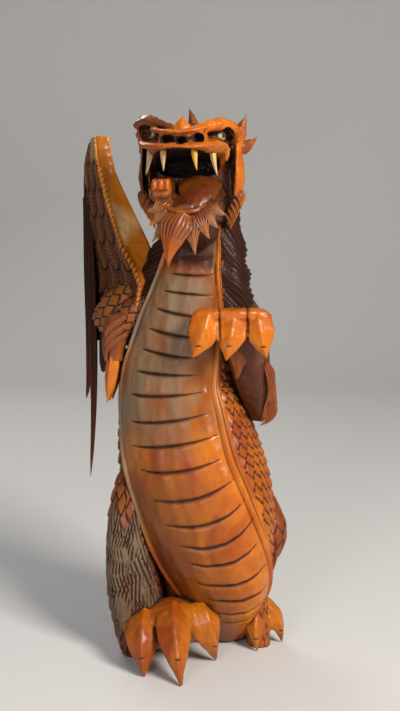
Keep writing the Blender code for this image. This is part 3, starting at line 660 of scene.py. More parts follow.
def leaf(root, bend, tip, face, wide, thick, profile=POINTED, corners=RIDGED, rings=26, around=32):
    """A pointed leaf, claw or feather whose ridge looks along face. Gives its skin, the share of
    the way to the tip, the share of the way across its face, and its two ends."""
    t = np.linspace(0, 0.985, rings)[:, None]
    root, bend, tip = (np.array(p, float) for p in (root, bend, tip))
    centres = (1 - t) ** 2 * root + 2 * t * (1 - t) * bend + t**2 * tip
    tangent, front, side = frames(centres, face)
    shape = along(profile, np.minimum(t[:, 0] / TIP_FROM, 1))
    shape = shape * np.clip((1 - t) / (1 - TIP_FROM), 0, 1) ** 0.8
    ring = np.array(corners + corners[:1], float)
    at = run(ring)
    spread = np.linspace(0, at[-1], around, endpoint=False)
    a, b = softened(np.stack([np.interp(spread, at, ring[:, k]) for k in (0, 1)]), 1)
    skin = swept(centres, front, side, wide / 2 * shape[:, :1] * a, thick / 2 * shape[:, 1:] * b)
    t, a = t + 0 * a, a + 0 * t
    return skin, t, np.where(b > -0.35, a, 9.0), centres[0] - tangent[0] * thick * 0.2, tip


def spine_point(place):
    """A point on the spine, and the way out from it."""
    table = along(BODY, [place - 0.01, place, place + 0.01])
    skin = body_skin(table, np.full((3, 1), math.pi))[1, 0]
    return skin, unit(skin - table[1, :3])


def fins():
    made = []
    for k, place in enumerate(np.linspace(0.1, 0.84, FIN_COUNT)):
        skin, out = spine_point(place)
        size = 1 - abs(k / (FIN_COUNT - 1) - 0.55)
        tip = skin + out * (5 + 9 * size) - (0, 0, 5)
        left = np.cross(out, UP)
        skin, t, _, start, end = leaf(skin - out * 4 + (0, 0, 8), skin - out * 2, tip, left, 22, 6, CLAW)
        lift = 0.5 * gouged(skin, 6, 4)
        made.append(shell(skin, start, end, lift, umber=0.5 - 0.4 * t, cut=0.5 * ease(0.35, 0.0, t)))
    return made


piece("back_fins", fins(), honey)

# The head.
# Carved from the top of the log and faceted by the knife: a broad flat snout, heavy brows over deep
# eye sockets, cheek bands, horns, ears, a crest, and a dropped jaw with a tongue and a block of teeth.

HEAD_PLACE = Matrix.Translation((-10, -47, 460)) @ Matrix.Rotation(math.radians(-6), 4, "Z")
# The skull, from the back forwards: y, half its width, its top and its bottom
SKULL = (
    (42, 18, 8, -16),
    (32, 30, 18, -24),
    (16, 32, 20, -22),
    (4, 32.5, 18, -10),
    (-9, 33, 14, -6),
    (-22, 32, 10, -6),
    (-35, 29, 6, -5),
    (-45, 20, 5, -2),
)
# The muzzle's top, y, half width, top and bottom; and the sharp ridge along its front, left to right
NOSE = ((-6, 16, 19, 3), (-22, 18, 16.5, 3), (-36, 20, 14, 3), (-43, 19, 12.5, 3))
RIDGE = (
    (-28, -24, 17.0, 2.5, 2.0),
    (-22, -36, 15.2, 3.0, 2.2),
    (-13, -43, 13.6, 3.2, 2.2),
    (-3, -45.5, 13.2, 3.2, 2.2),
    (7, -45, 14.2, 3.2, 2.4),
    (14, -42, 15.8, 3.0, 2.6),
    (20, -36, 18.0, 3.0, 2.6),
)
# The brows' sharp ridges, from the nose outwards, at the right and the left of the picture
BROW_AT_RIGHT = (
    (6, -38, 14.0, 2.5, 2.2),
    (13, -34, 17.0, 3.5, 3.8),
    (21, -27, 19.4, 4.5, 5.0),
    (30, -20, 21.0, 5.0, 5.6),
    (38, -10, 19.4, 5.0, 5.2),
    (42, -1, 14.5, 4.5, 4.4),
    (42.5, 4, 6.0, 4.0, 3.4),
)
BROW_AT_LEFT = (
    (-6, -36, 15.5, 2.5, 2.0),
    (-14, -31, 18.5, 4.0, 3.6),
    (-22, -24, 21.5, 5.0, 4.6),
    (-30, -17, 24.5, 5.5, 5.4),
    (-37, -10, 24.5, 5.0, 5.0),
    (-44, -3, 22.0, 4.0, 3.2),
)
# How far out the cheek, the horn's tip and the ear's tip stand, where x is above and below 0
CHEEK_OUT, HORN_OUT, EAR_OUT = {1: 41.5, -1: 38}, {1: 50, -1: 42}, {1: 59, -1: 47}
FOREHEAD = ((16, 33, 20, -4), (4, 37, 21.5, 0), (-7, 37, 22.5, 4), (-15, 31, 20, 6))
# The shaded wood behind each brow, from the nose outwards
BROW_BACK = (
    (5, -26, 15, 4, 4),
    (14, -20, 17, 5, 5.5),
    (24, -12, 19, 6, 6.5),
    (33, -5, 19, 6, 7),
    (38.5, 2, 16, 4.5, 7),
)
# The lip's thin plate, left to right, hooking down behind the last fang
LIP = (
    (-36, 0, 9.0, 2.6, 1.6),
    (-36.5, -13, 7.6, 3.4, 2.0),
    (-33.5, -27, 4.8, 4.6, 2.6),
    (-25, -40, 2.4, 5.4, 3.0),
    (-12, -48, 1.2, 5.6, 3.2),
    (2, -50, 1.0, 5.6, 3.2),
    (14, -47, 1.6, 5.6, 3.2),
    (24, -38, 3.0, 5.0, 3.2),
    (30.5, -25, 4.0, 4.4, 3.2),
    (33, -14, 1.0, 3.6, 3.4),
    (33, -8, -7.0, 3.0, 3.0),
)
JAW = (
    (0, 18, -34, 32, 10),
    (0, 4, -36, 31, 9),
    (0, -10, -41, 28, 8),
    (0, -24, -46, 20, 7),
    (1, -36, -49, 9, 5),
)
RIM = (
    (-33, 0, -29, 1.6, 2.2),
    (-29, -18, -38, 1.6, 2.4),
    (-17, -32, -46, 1.8, 2.4),
    (-5, -38.5, -50.5, 2, 2.6),
    (6, -39, -50.5, 2, 2.6),
    (14, -35, -48, 1.8, 2.4),
    (23, -23, -39, 1.6, 2.4),
    (28.5, -8, -28, 1.6, 2.2),
)
TONGUE = (
    (9, 6, -24, 16, 5),
    (10, -8, -27, 18, 6),
    (11, -19, -33, 17, 6),
    (10, -28, -40, 12, 5),
    (8, -34, -45, 6, 3),
)
TOOTH_BLOCK = ((-4, 9, -21, -36), (-16, 9.5, -21.5, -38), (-27, 9, -24, -41))
MOUTH = ((32, 22, -5, -19), (6, 28, -1, -22), (-14, 30, 0.5, -28), (-30, 30, 0.5, -39), (-64, 30, 0, -58))
THROAT = ((0, 27, 14, 33, 14), (0, 27, -14, 42, 15), (0, 27, -38, 41, 15), (0, 22, -60, 28, 15))
CHIN = ((0, -26, -55, 14, 8), (0, -10, -60, 22, 13), (2, 12, -66, 24, 16))
JAW_HINGE = ((-33, 6, -2, 1.6, 9), (-32.5, 2, -16, 1.6, 12), (-31, -2, -30, 1.6, 10))
# The slot inside each cheek band, painted near black as shade
CHEEK_GAP = ((36.5, 0, 6, 2.8, 9), (36.6, -1, -14, 3.2, 12), (35.5, -1, -40, 3.2, 12))
# Each nostril: x, half its width, its top and its bottom
NOSTRILS = ((-12, 5.4, 10.8, 3.6), (-0.5, 4.4, 9.2, 3.2), (13.6, 4.4, 12.4, 5.0))
# Each crest scale: where it is rooted, how high it reaches, its lean, width and thickness, its umber stain
# and painted shade
CREST = (
    (-1, -35, 12.5, 28.5, 0, 21, 9, 0.0),
    (5, 0, 16, 39.5, 6, 12, 8, 0.7),
    (3, 18, 14, 31, 2, 10, 9, 0.7),
)
HEAD_VOXEL = 1.12


def on_head(made):
    """Shells or points drawn about the head's own middle, set on the neck."""
    turn = np.array(HEAD_PLACE.to_3x3())
    move = np.array(HEAD_PLACE.translation)
    return [(points @ turn.T + move, *rest) for points, *rest in made]


def mirrored(stations, side):
    return [(p[0] * side, *p[1:]) for p in stations]


def slabs(stations, rings=40, around=60, squareness=3.2, x=0):
    """A form along the head's length. Each station is y, half its width, its top and its bottom."""
    table = along(stations, np.linspace(0, 1, rings))
    s, c = rounded(np.linspace(0, 2 * math.pi, around, endpoint=False), squareness)
    y, wide, top, low = (table[:, k : k + 1] for k in range(4))
    middle = (top + low) / 2
    skin = np.stack([x + wide * s, y + 0 * s, middle + (top - low) / 2 * c], axis=2)
    return skin, (x, y[0, 0] + 2, middle[0, 0]), (x, y[-1, 0] - 2, middle[-1, 0])


def plain(form, **marks):
    """The shell of a limb, slab or leaf just as it was drawn."""
    return shell(form[0], form[-2], form[-1], **marks)


def ball(centre, radius, stretch=(1, 1, 1), **marks):
    turn = np.linspace(0, math.pi, 18)[1:-1, None]
    angle = np.linspace(0, 2 * math.pi, 28, endpoint=False)
    flat = np.sin(turn)
    skin = np.stack([flat * np.cos(angle), flat * np.sin(angle), np.cos(turn) + 0 * angle], axis=2)
    centre, stretch = np.array(centre, float), np.array(stretch, float) * radius
    return shell(skin * stretch + centre, centre + stretch * UP, centre - stretch * UP, **marks)


def remeshed(name, shells, voxel):
    """Overlapping skins run into one block, and the points and marks they had before."""
    mesh, points, marks = joined(name, shells)
    block = bpy.data.objects.new(name, mesh)
    bpy.context.scene.collection.objects.link(block)
    step = block.modifiers.new("one skin", "REMESH")
    step.mode = "VOXEL"
    step.voxel_size = voxel
    return block, points, marks


def read(items, what, wide=3, kind=np.float32):
    """Numbers kept in a mesh, one row for each of its items."""
    rows = np.empty(len(items) * wide, kind)
    items.foreach_get(what, rows)
    return rows.reshape(-1, wide)


def melted(name, shells, finish, voxel=1.0, hollows=(), stroke=7.0, bite=0.5, nicks=()):
    """Overlapping forms run into one skin, as the knife leaves them: hollowed where hollows lie,
    then gouged all over and nicked across."""
    block, near, marks = remeshed(name, shells, voxel)
    used = [block]
    if hollows:
        tool, hollow_points, hollow_marks = remeshed(name + "_hollows", hollows, voxel)
        near = np.vstack([near, hollow_points])
        marks = {mark: np.concatenate([marks[mark], hollow_marks[mark]]) for mark in MARKS}
        cut = block.modifiers.new("hollows", "BOOLEAN")
        cut.operation = "DIFFERENCE"
        cut.object = tool
        cut.solver = "MANIFOLD"
        used.append(tool)
    graph = bpy.context.evaluated_depsgraph_get()
    mesh = bpy.data.meshes.new_from_object(block.evaluated_get(graph))
    for old in used:
        bpy.data.objects.remove(old)
    points = read(mesh.vertices, "co").astype(float)
    # each point's marks are those of the nearest point it was made from, evened with its neighbours'
    tree = KDTree(len(near))
    for k, point in enumerate(near):
        tree.insert(point, k)
    tree.balance()
    found = np.array([tree.find(point)[1] for point in points])
    count = len(points)
    a, b = read(mesh.edges, "vertices", 2, np.int32).T
    meets = np.maximum(np.bincount(a, minlength=count) + np.bincount(b, minlength=count), 1)
    for mark in MARKS:
        own = marks[mark][found]
        total = np.bincount(a, own[b], count) + np.bincount(b, own[a], count)
        marks[mark] = 0.5 * own + 0.5 * (total / meets)
    lift = bite * gouged(points, stroke, 5)
    for centre, way, down, length, width, depth in nicks:
        away = points - np.array(centre, float)
        far = np.abs(away @ unit(np.array(way, float))) / (length / 2)
        off = np.abs(away @ unit(np.array(down, float))) / (width / 2)
        within = np.linalg.norm(away, axis=1) < length
        nick = np.sqrt(np.clip(1 - far**2, 0, 1)) * np.clip(1 - off, 0, 1) * within
        lift = lift - depth * nick
        marks["cut"] = np.maximum(marks["cut"], nick**0.7)
    points = points + read(mesh.vertex_normals, "vector") * lift[:, None]
    mesh.vertices.foreach_set("co", points.astype(np.float32).ravel())
    mesh.update()
    mesh.materials.clear()
    return carving(name, mesh, marks, finish)


def head_forms():
    skull = slabs(SKULL)
    throat = limb(THROAT, FRONT, 50, 70, 3)
    # painted shade: the skull darker towards the back, the forehead, the left brow (x below 0), the jaw
    # hinge and the throat darkened as they lie in shade
    made = [
        plain(skull, umber=0.45 + 0.45 * ease(5, 25, skull[0][..., 1])),
        plain(slabs(FOREHEAD, squareness=3.5), umber=0.85),
        plain(slabs(NOSE, squareness=4.5), umber=0.15),
        plain(limb(RIDGE, UP, 90, 20, 1.3)),
        plain(limb(BROW_AT_RIGHT, UP, 90, 26, 1.4)),
        plain(limb(BROW_AT_LEFT, UP, 90, 26, 1.3), umber=0.75),
        plain(limb(LIP, UP, 130, 24, 1.4)),
        plain(throat, umber=0.95, cut=ease(10, 2, throat[0][..., 1])),
        plain(limb(JAW_HINGE, FRONT, 40, 30, 2.0), umber=0.75),
    ]
    for side in (1, -1):
        cheek, horn, ear = (out[side] * side for out in (CHEEK_OUT, HORN_OUT, EAR_OUT))
        made.append(plain(limb(mirrored(BROW_BACK, side), UP, 70, 24), umber=1.0, cut=0.7))
        band = [(cheek, 6, 8, 3.4, 8), (cheek, 9, -4, 4.6, 11), (cheek, 10, -16, 6, 12)]
        band += [(cheek, 11, -26, 6, 12), (cheek * 0.96, 12, -36, 4.4, 10)]
        # the cheek band on the left (x below 0) painted dark as shade
        made.append(plain(limb(band, FRONT, 70, 30, 1.5), umber=0.0 if side > 0 else 0.8))
        form = leaf((38 * side, 4, 10), (horn * 0.9, 4, 18), (horn, 3, 33), (0, -1, 0.3), 17, 11)
        made.append(plain(form, umber=0.3, ash=ease(0.62, 0.88, form[1])))
        form = leaf((39 * side, 18, 6), (ear * 0.84, 16, 3), (ear, 18, 15), (0.15 * side, -1, 0), 17, 6)
        made.append(plain(form, umber=0.5))
    for x, y, z, top, lean, wide, thick, umber in CREST:
        bend, tip = (x, y - 1, (z + top) / 2), (x - lean, y + 3, top)
        scale = leaf((x, y, z), bend, tip, (0, -1, 0.25), wide, thick, DIAMOND)
        made.append(plain(scale, umber=umber, ash=0.7 * ease(0.7, 0.95, scale[1]) * (umber > 0)))
    return on_head(made)


def jaw_forms():
    # painted shade: the jaw, the chin, its rim, the tongue and the block of teeth are darkened as they lie
    # in the mouth's shade
    made = [
        plain(limb(JAW, (0, -0.4, 1), 60, 60, 2.2), umber=0.95),
        plain(limb(CHIN, (0, -0.5, 1), 30, 50), umber=1.0, cut=0.4),
        plain(limb(RIM, (0, -0.4, 1), 110, 20, 1.4), umber=0.65),
        plain(limb(TONGUE, (0, -0.55, 1), 60, 60, 1.5), umber=0.85),
        plain(slabs(TOOTH_BLOCK, 30, 50, 4.0, x=-19.5), umber=0.85),
    ]
    for k in range(3):
        tooth = ((-24 - k, 2.3, -23, -32), (-32 - k, 2.1, -24.5, -33))
        made.append(plain(slabs(tooth, 16, 28, 4, x=-25 + 5.6 * k)))
    return on_head(made)


def head_hollows():
    painted_shadow = {"cut": 1.0, "umber": 1.0}
    # painted shadow: the inside of the mouth, the nostrils, the eye sockets and the cheek slots are painted
    # near black
    made = [plain(slabs(MOUTH, squareness=2.8, x=-1.5), **painted_shadow)]
    for x, half, top, low in NOSTRILS:
        nostril = ((-34, 0.5 * half, top - 2, low + 1), (-44, half, top, low), (-62, half, top, low))
        made.append(plain(slabs(nostril, 20, 30, 3, x=x), **painted_shadow))
    made.append(ball((34.5, -14, 11.5), 9, (0.68, 1.6, 0.88), **painted_shadow))
    made.append(ball((-34.5, -12, 14.5), 10, (1.1, 1.5, 0.74), **painted_shadow))
    for side in (1, -1):
        made.append(plain(limb(mirrored(CHEEK_GAP, side), FRONT, 40, 20), **painted_shadow))
    return on_head(made)


melted("head", head_forms(), bright_honey, HEAD_VOXEL, head_hollows(), stroke=6.0, bite=1.1)
melted("jaw", jaw_forms(), bright_honey, HEAD_VOXEL, stroke=6.5, bite=0.9)

# The fangs.
# Four long teeth that hang from the upper lip, pared thin and left nearly bare of stain.

FANG_LENGTH, FANG_WIDTH = 20.5, 5.5
# x of each fang's root, y, how far its tip leans out, its share of the full length, its stain
FANGS = (
    (-28, -30, -4, 1.05, 0.85),
    (-15.5, -42, 0, 0.92, 0.8),
    (10, -43, 2, 0.9, 0.0),
    (24, -33, 4, 1.1, 0.85),
)


def fangs():
    made = []
    for x, y, lean, share, bare in FANGS:
        long = FANG_LENGTH * share
        bend, tip = (x, y - 2, 1 - long * 0.45), (x + lean, y + 1, 1 - long)
        form = leaf((x, y, 2), bend, tip, FRONT, FANG_WIDTH, FANG_WIDTH, CLAW)
        made.append(plain(form, ash=bare * ease(0.0, 0.3, form[1]), umber=0.6 * ease(0.25, 0.0, form[1])))
    return on_head(made)


ivory_stain = stained_wood("ivory_stain", (0.78, 0.38, 0.06), (0.60, 0.26, 0.04), ash=(0.52, 0.40, 0.24))
piece("fangs", fangs(), ivory_stain)

# The eyes.
# A round ball left in each socket, painted cream, with a dark pupil that looks forwards and out.


def eyes():
    made = []
    for side, y, z in ((1, -12.5, 12), (-1, -6.5, 14)):
        points, quads, tris, _ = ball((28.5 * side, y, z), 4.3)
        look = unit(np.array((0.75 * side, -0.62, 0.1)))
        facing = unit(points - points.mean(axis=0)) @ look
        marks = {"cut": ease(0.8, 0.88, facing), "ash": 1 - ease(0.78, 0.86, facing)}
        made.append((points, quads, tris, marks))
    return on_head(made)


eye_paint = stained_wood("eye_paint", (0.50, 0.36, 0.18), (0.36, 0.22, 0.09), ash=(0.56, 0.48, 0.34))
piece("eyes", eyes(), eye_paint)

# The beard.
# Flat pointed leaves that fan out below the chin, and one long curved goatee, each scored with
# hair lines from root to tip; rougher tufts hang behind the cheeks.

# x and z of each leaf's tip about the head's middle
BEARD_TIPS = ((-31, -50), (-29, -62), (-26.5, -76), (-1, -78), (10.5, -86), (22, -73), (29, -64), (35, -53))


def scored(form, lines, depth, umber, ash, tail=0.9):
    """A leaf with V-cut hair lines that run from its root towards its tip, darker at the root and
    paler towards the tip."""
    skin, t, s, start, end = form
    on_face = (np.abs(s) < 1.5) * ease(0.0, 0.06, t) * ease(tail, tail - 0.12, t)
    cut = np.clip((np.abs((s * lines / 2 + 0.25) % 1 - 0.5) * 2 - 0.45) / 0.55, 0, 1) * on_face
    fade = ease(0.3, 0.85, t)
    return shell(skin, start, end, -depth * cut, cut=0.9 * cut, umber=umber * (1 - fade), ash=ash * fade)


def beard():
    made = []
    for k, (x, z) in enumerate(BEARD_TIPS):
        fan = unit(np.array((x - 2.0, z + 46.0)))
        forward = -40 + 0.009 * x * x
        root = (2 + 15 * fan[0], forward + 3, -46 + 7 * fan[1] + 6 * fan[0] ** 2)
        bend = ((x + 2) / 2 + 4 * fan[0], forward - 6 - (k % 2), (z - 46) / 2)
        form = leaf(root, bend, (x, forward - 1, z), (fan[0] * 0.5, -1, 0), 18.5, 5, rings=44, around=46)
        made.append(scored(form, 7, 1.3, 0.75, 0.65))
    bend, tip = (-10, -50, -70), (-12.5, -38, -96)
    goatee = leaf((1, -38, -52), bend, tip, (-0.2, -1, 0), 29, 8, rings=54, around=54)
    made.append(scored(goatee, 8, 1.1, 0.6, 0.0, tail=0.58))
    for side in (1, -1):
        for k in range(5):
            x, y, z = (CHEEK_OUT[side] + 1 - 2.4 * k) * side, 6 + 2 * k, -32 - 4.4 * k
            bend, tip = (x + 4 * side, y - 1, z - 6), (x + 2 * side, y + k, z - 16)
            tuft = leaf((x, y + 1, z), bend, tip, (side * 0.5, -1, 0), 11, 6, rings=30, around=34)
            made.append(scored(tuft, 5, 1.1, 0.6, 0.1))
    return on_head(made)


piece("beard", beard(), bright_honey)

# The mane.
# A thick coat of hair down the neck, left proud of it and combed with a V-gouge into long wavy
# strands that run down from the belly's border and sweep out to the sides; stained dark.

MANE_FROM, MANE_TO = 0.04, 0.36
MANE_TOP, MANE_FOOT = 3.0, 15.0          # how thick the hair stands at its top and its foot
MANE_CORE = 0.82                         # how far out its hidden side lies, as a share of the neck
STRAND = 5.0


def mane():
    rings, outside, inside = 168, 206, 8
    places = np.linspace(MANE_FROM, MANE_TO, rings)
    table = along(BODY, places)
    border = np.radians(table[:, 6:7]) * 0.98 + BEAD_ANGLE
    # from border to border round the back, and then home again inside the neck
    sweep = border + 2 * (math.pi - border) * np.linspace(0, 1, outside)
    back = sweep[:, -1:]
    angles = np.hstack([sweep, back + (border - back) * np.linspace(0, 1, inside + 2)[1:-1]])
    is_hair = np.arange(outside + inside) < outside
    skin = body_skin(table, angles, np.where(is_hair, 1.0, MANE_CORE))
    s, c = rounded(angles, BODY_SQUARENESS)
    across = run(skin[:, :outside], 1)
    away = np.hstack([np.minimum(across, across[:, -1:] - across), np.zeros((rings, inside))])
    down = run(table[:, :3])[:, None]
    place = places[:, None] + 0 * angles
    grown = ease(0.05, 0.29, place) * ease(MANE_TO, 0.325, place)
    thick = MANE_TOP + (MANE_FOOT - MANE_TOP) * grown * np.abs(s) ** 0.7 + 2 * np.abs(c) * grown
    thick = thick * ease(-1, 13, away) * ease(MANE_TO, 0.335, place) * ease(MANE_FROM, 0.07, place)
    sweep_down = 17 * (1 - np.exp(-away / 10)) + 0.42 * away
    wave = 3.2 * np.sin(away / 9 + down / 31) + 5 * (clouds(pairs(away / 26, down / 34), 4) - 0.5)
    flow = (down - sweep_down + wave) / STRAND
    strand = np.floor(flow)
    valley = np.abs(flow - strand - 0.5) * 2
    fine = np.abs((flow * 2.0 + 0.3 * np.sin(strand * 2.4)) % 1 - 0.5) * 2
    cut = np.maximum(valley**1.7, 0.5 * fine**2) * is_hair
    lift = is_hair * (thick - 0.8 + (1.4 * np.sin(flow * math.pi / 2.5) - 2.3 * cut))
    return shell(skin, skin[0].mean(axis=0), skin[-1].mean(axis=0), lift, cut=cut, umber=0.95 * is_hair)


dark_stain = stained_wood("dark_stain", (0.15, 0.034, 0.006), (0.06, 0.012, 0.003), gloss=0.42, ior=1.24)
piece("mane", [mane()], dark_stain)

# The wing.
# One raised wing, carved thick: a smooth honey-coloured front panel with a notched ridge, lightened
# and banded pale as painted light, an outer face with rows of barbed coverts, and a plainer inner
# face; a stout root joins it to the shoulder.

# Height, then x and y of the near ridge, the panel's far edge, and the trailing edge
WING = (
    (290, -64, 4, -46, 14, -100, 42),
    (318, -59, -6, -38, 8, -107, 54),
    (345, -54, -12, -34, 2, -110, 57),
    (362, -60, -12, -39, 1, -111, 58),
    (381, -71, -10, -45, 4, -111, 58),
    (414, -81, -8, -61, 6, -111, 57),
    (444, -89, -6, -75, 8, -110, 52),
    (462, -92, -5, -79, 8, -107, 42),
    (477, -93, -4, -82, 8, -99, 26),
)
WING_EDGE = 9.0
# How far the panel, the inner face, the edge and the outer face bulge, in x and y
WING_BULGES = ((-1.2, 2.0), (4.0, 0.0), (0, 0), (0, 0))
COVERT_TALL, COVERT_WIDE, BARB_GAP = 24.0, 20.0, 3.5
NOTCHES = (302, 448, 4.4)                # from this height up to that one, and their spacing
WING_ROOT = ((-34, 14, 344, 20, 18), (-54, 16, 332, 22, 20), (-76, 22, 318, 20, 16), (-92, 32, 306, 12, 10))


def on_wing(z, share):
    """A point on the wing's outer face, at a height and a share of the way to its trailing edge."""
    rows = np.array(WING, float)
    near = np.array([np.interp(z, rows[:, 0], rows[:, i]) for i in (1, 2)])
    back = np.array([np.interp(z, rows[:, 0], rows[:, i]) for i in (5, 6)])
    chord = (back - near) / np.linalg.norm(back - near)
    return np.array((*(near + (back - near) * share), z)), np.array((-chord[1], chord[0], 0.0))


def plumed(down, across, tall, wide, barb):
    """Round-ended feathers in staggered rows, each row lying over the next and barbed both ways
    from its shafts: how proud each point stands, and how dark it is painted, in its cuts and as
    painted shade just outside the feather lying over it."""
    long = 1.65 * tall
    rise, cut = np.zeros(down.shape), np.zeros(down.shape)
    first = np.floor(down / tall)
    for k in (0, -1):
        row = first + k
        column = np.round(across / wide - 0.5 * (row % 2))
        u = (across - (column + 0.5 * (row % 2)) * wide) / (wide / 2)
        v = (down - row * tall) / long
        edge = np.sqrt(u**2 + (np.maximum(v - 0.6, 0) / 0.4) ** 2)
        over = edge < 1
        place = (v * long - np.abs(u) * wide / 2 * 0.62) / barb
        barbs = ease(0.2, 0.95, np.abs(place % 1 - 0.5) * 2)
        barbs *= ease(0.06, 0.18, np.abs(u)) * ease(1.0, 0.9, edge)
        proud = 0.9 + 1.5 * v - 0.7 * edge**2 + 0.4 * np.clip(1 - np.abs(u) / 0.12, 0, 1) - 1.7 * barbs
        # painted shadow: just outside each feather's edge the feather beneath is sunk and darkened as its
        # shade
        shade = np.clip(1 - (edge - 1) / 0.24, 0, 1)
        rise = np.where(over, proud, rise - 0.7 * shade)
        cut = np.where(over, np.maximum(barbs, ease(0.9, 1.0, edge)), np.maximum(cut, shade))
    return rise, cut


def wing_board():
    counts = {"panel": 32, "inner": 18, "edge": 6, "outer": 112}
    skin = []
    for z, *spots in along(WING, np.linspace(0, 1, 285)):
        near, far, back = (np.array(spots[i : i + 2]) for i in (0, 2, 4))
        chord = (back - near) / np.linalg.norm(back - near)
        inward = np.array((chord[1], -chord[0])) * WING_EDGE
        corners = (near, far, back + inward, back, near)
        ring = []
        for a, b, count, bulge in zip(corners, corners[1:], counts.values(), WING_BULGES):
            f = np.linspace(0, 1, count, endpoint=False)[:, None]
            flat = a + (b - a) * f + np.array(bulge) * np.sin(math.pi * f)
            ring.append(np.hstack([flat, 0 * f + z]))
        skin.append(np.vstack(ring))
    skin = softened(np.array(skin), 1)
    around = skin.shape[1]
    z = skin[..., 2]
    column = np.arange(around) + 0 * z
    panel_end, outer_from = counts["panel"], around - counts["outer"]
    on_panel = ease(0, 3, column) * ease(panel_end, panel_end - 3, column)
    across_panel = column / panel_end
    strokes = gouged(pairs(across_panel * 2.1, z / 8.5), 1.0, 8)
    inner = ease(panel_end, panel_end + 4, column) * ease(outer_from - 4, outer_from - 10, column)
    lift = on_panel * 1.5 * strokes + inner * 1.1 * gouged(skin, 13, 6)
    # the outer face: coverts, with the flight feathers' quills behind them
    outer = ease(outer_from, outer_from + 3, column) * ease(around, around - 2, column)
    share = (around - column) / counts["outer"]
    lengths = np.linalg.norm(skin[:, outer_from, :2] - skin[:, -1, :2], axis=1)[:, None]
    across, down = share * lengths, 470 - z
    covert = outer * (share < 0.8)
    rise, cut = plumed(down, across - 0.16 * down, COVERT_TALL, COVERT_WIDE, BARB_GAP)
    quill = np.abs((across / 6.5) % 1 - 0.5) * 2
    lift += covert * rise + outer * (share >= 0.8) * (0.9 * np.sqrt(1 - quill**2) - 0.6)
    cut = np.maximum(covert * cut, outer * (share >= 0.8) * ease(0.75, 1, quill))
    # painted sheen: a pale band across the middle of the panel, strongest near the ridge, where light would
    # shine off it
    painted_sheen = on_panel * ease(0.1, 0.7, 1.25 - np.abs(z - 402) / 26 - 0.8 * across_panel)
    rounded_top = outer * ease(452, 462, z) * ease(0.55, 0.4, share)
    marks = {
        "cut": cut * (1 - rounded_top),
        "umber": np.maximum(np.maximum(outer * 0.85, inner * 0.5), 0.6 * on_panel * ease(438, 462, z)),
        "ash": np.maximum(0.95 * painted_sheen, 0.45 * rounded_top),
    }
    made = [shell(skin, skin[0].mean(0) - (0, 0, 4), skin[-1].mean(0) + (0, 0, 2), lift, **marks)]
    root, down, across, top, foot = limb(WING_ROOT, FRONT, 80, 100)
    scale, cut = scaly(down, across, 9, across.max() / 12)
    made.append(shell(root, top, foot, 1.5 * scale, cut=cut, umber=0.6))
    # the notched ridge between the panel and the feathers
    for height in np.arange(*NOTCHES):
        ridge, _ = on_wing(height, 0.0)
        bend, tip = ridge + (0.5, -2.4, -0.5), ridge + (-0.8, -0.6, -4.6)
        notch = leaf(ridge + (0, 1.5, 2.2), bend, tip, (-0.2, -1, 0), 5.5, 3.6, rings=12, around=14)
        made.append(plain(notch, umber=0.15, cut=0.8 * ease(0.2, 0.0, notch[1])))
    return made


# The wing's stain, lighter than the honey's as painted light for a panel that the head shades, and the pale
# band painted on it as sheen
SHEEN_BAND = (0.90, 0.60, 0.26)
pale_honey = stained_wood("pale_honey_stain", (0.72, 0.25, 0.015), (0.42, 0.10, 0.006), ash=SHEEN_BAND)
piece("wing", wing_board(), pale_honey)

# The feathers.
# Five long flight feathers, rooted under the coverts of the wing's outer face and hanging free
# below it, each scored with a few long V-cuts beside its quill; dark red-brown.

# Each flight feather's root on the wing: share of the way back and height; then its tip
PRIMARIES = (
    (0.96, 424, (-110, 48, 232)),
    (0.88, 436, (-104, 44, 214)),
    (0.76, 424, (-106, 40, 156)),
    (0.62, 334, (-92, 30, 262)),
    (0.48, 326, (-82, 24, 272)),
)


def feathers():
    made = []
    foot_of_board = WING[0][0]
    for k, (share, top, tip) in enumerate(PRIMARIES):
        root, out = on_wing(top, share)
        low, _ = on_wing(foot_of_board - 20, share)
        bend = low + out * (3 + k * 0.8) + (0, 0, -12)
        form = leaf(root, bend, tip, out, 17, 8.5, QUILLED, rings=110, around=34)
        made.append(scored(form, 4, 0.6, 1.0, 0.0))
    return made


piece("feathers", feathers(), dark_stain)

# The left arm.
# Raised before the chest: a stout upper arm, a forearm that comes forwards, and a flat-backed paw
# with three pointed fingers and a thumb, left smooth and bright; tufts of hair at the elbow.

UPPER_ARM = (
    (22, 2, 336, 12, 16),
    (38, 4, 314, 19, 21),
    (46, 2, 286, 17, 19),
    (52, -2, 256, 13, 15),
    (55, -6, 228, 9, 11),
)
FOREARM = (
    (54, -8, 226, 8, 9),
    (48, -20, 250, 12, 12),
    (41, -34, 278, 15, 12),
    (36, -48, 303, 17, 13),
    (30, -59, 321, 19, 8),
)
PALM = (
    (-3, -58, 322, 4, 10),
    (4, -59, 323, 5, 12),
    (28, -60, 323, 5, 14),
    (50, -59, 323, 5, 12),
    (57, -58, 322, 4, 10),
)
# Each finger's middle at the knuckles, its width and its tip
FINGERS = ((6.5, 27, (-7, -71, 286)), (28, 28, (21.5, -78, 284.5)), (49, 25, (56.5, -69, 285)))
# Where the V-cuts between the fingers run
FINGER_CUTS = (16.2, 40)


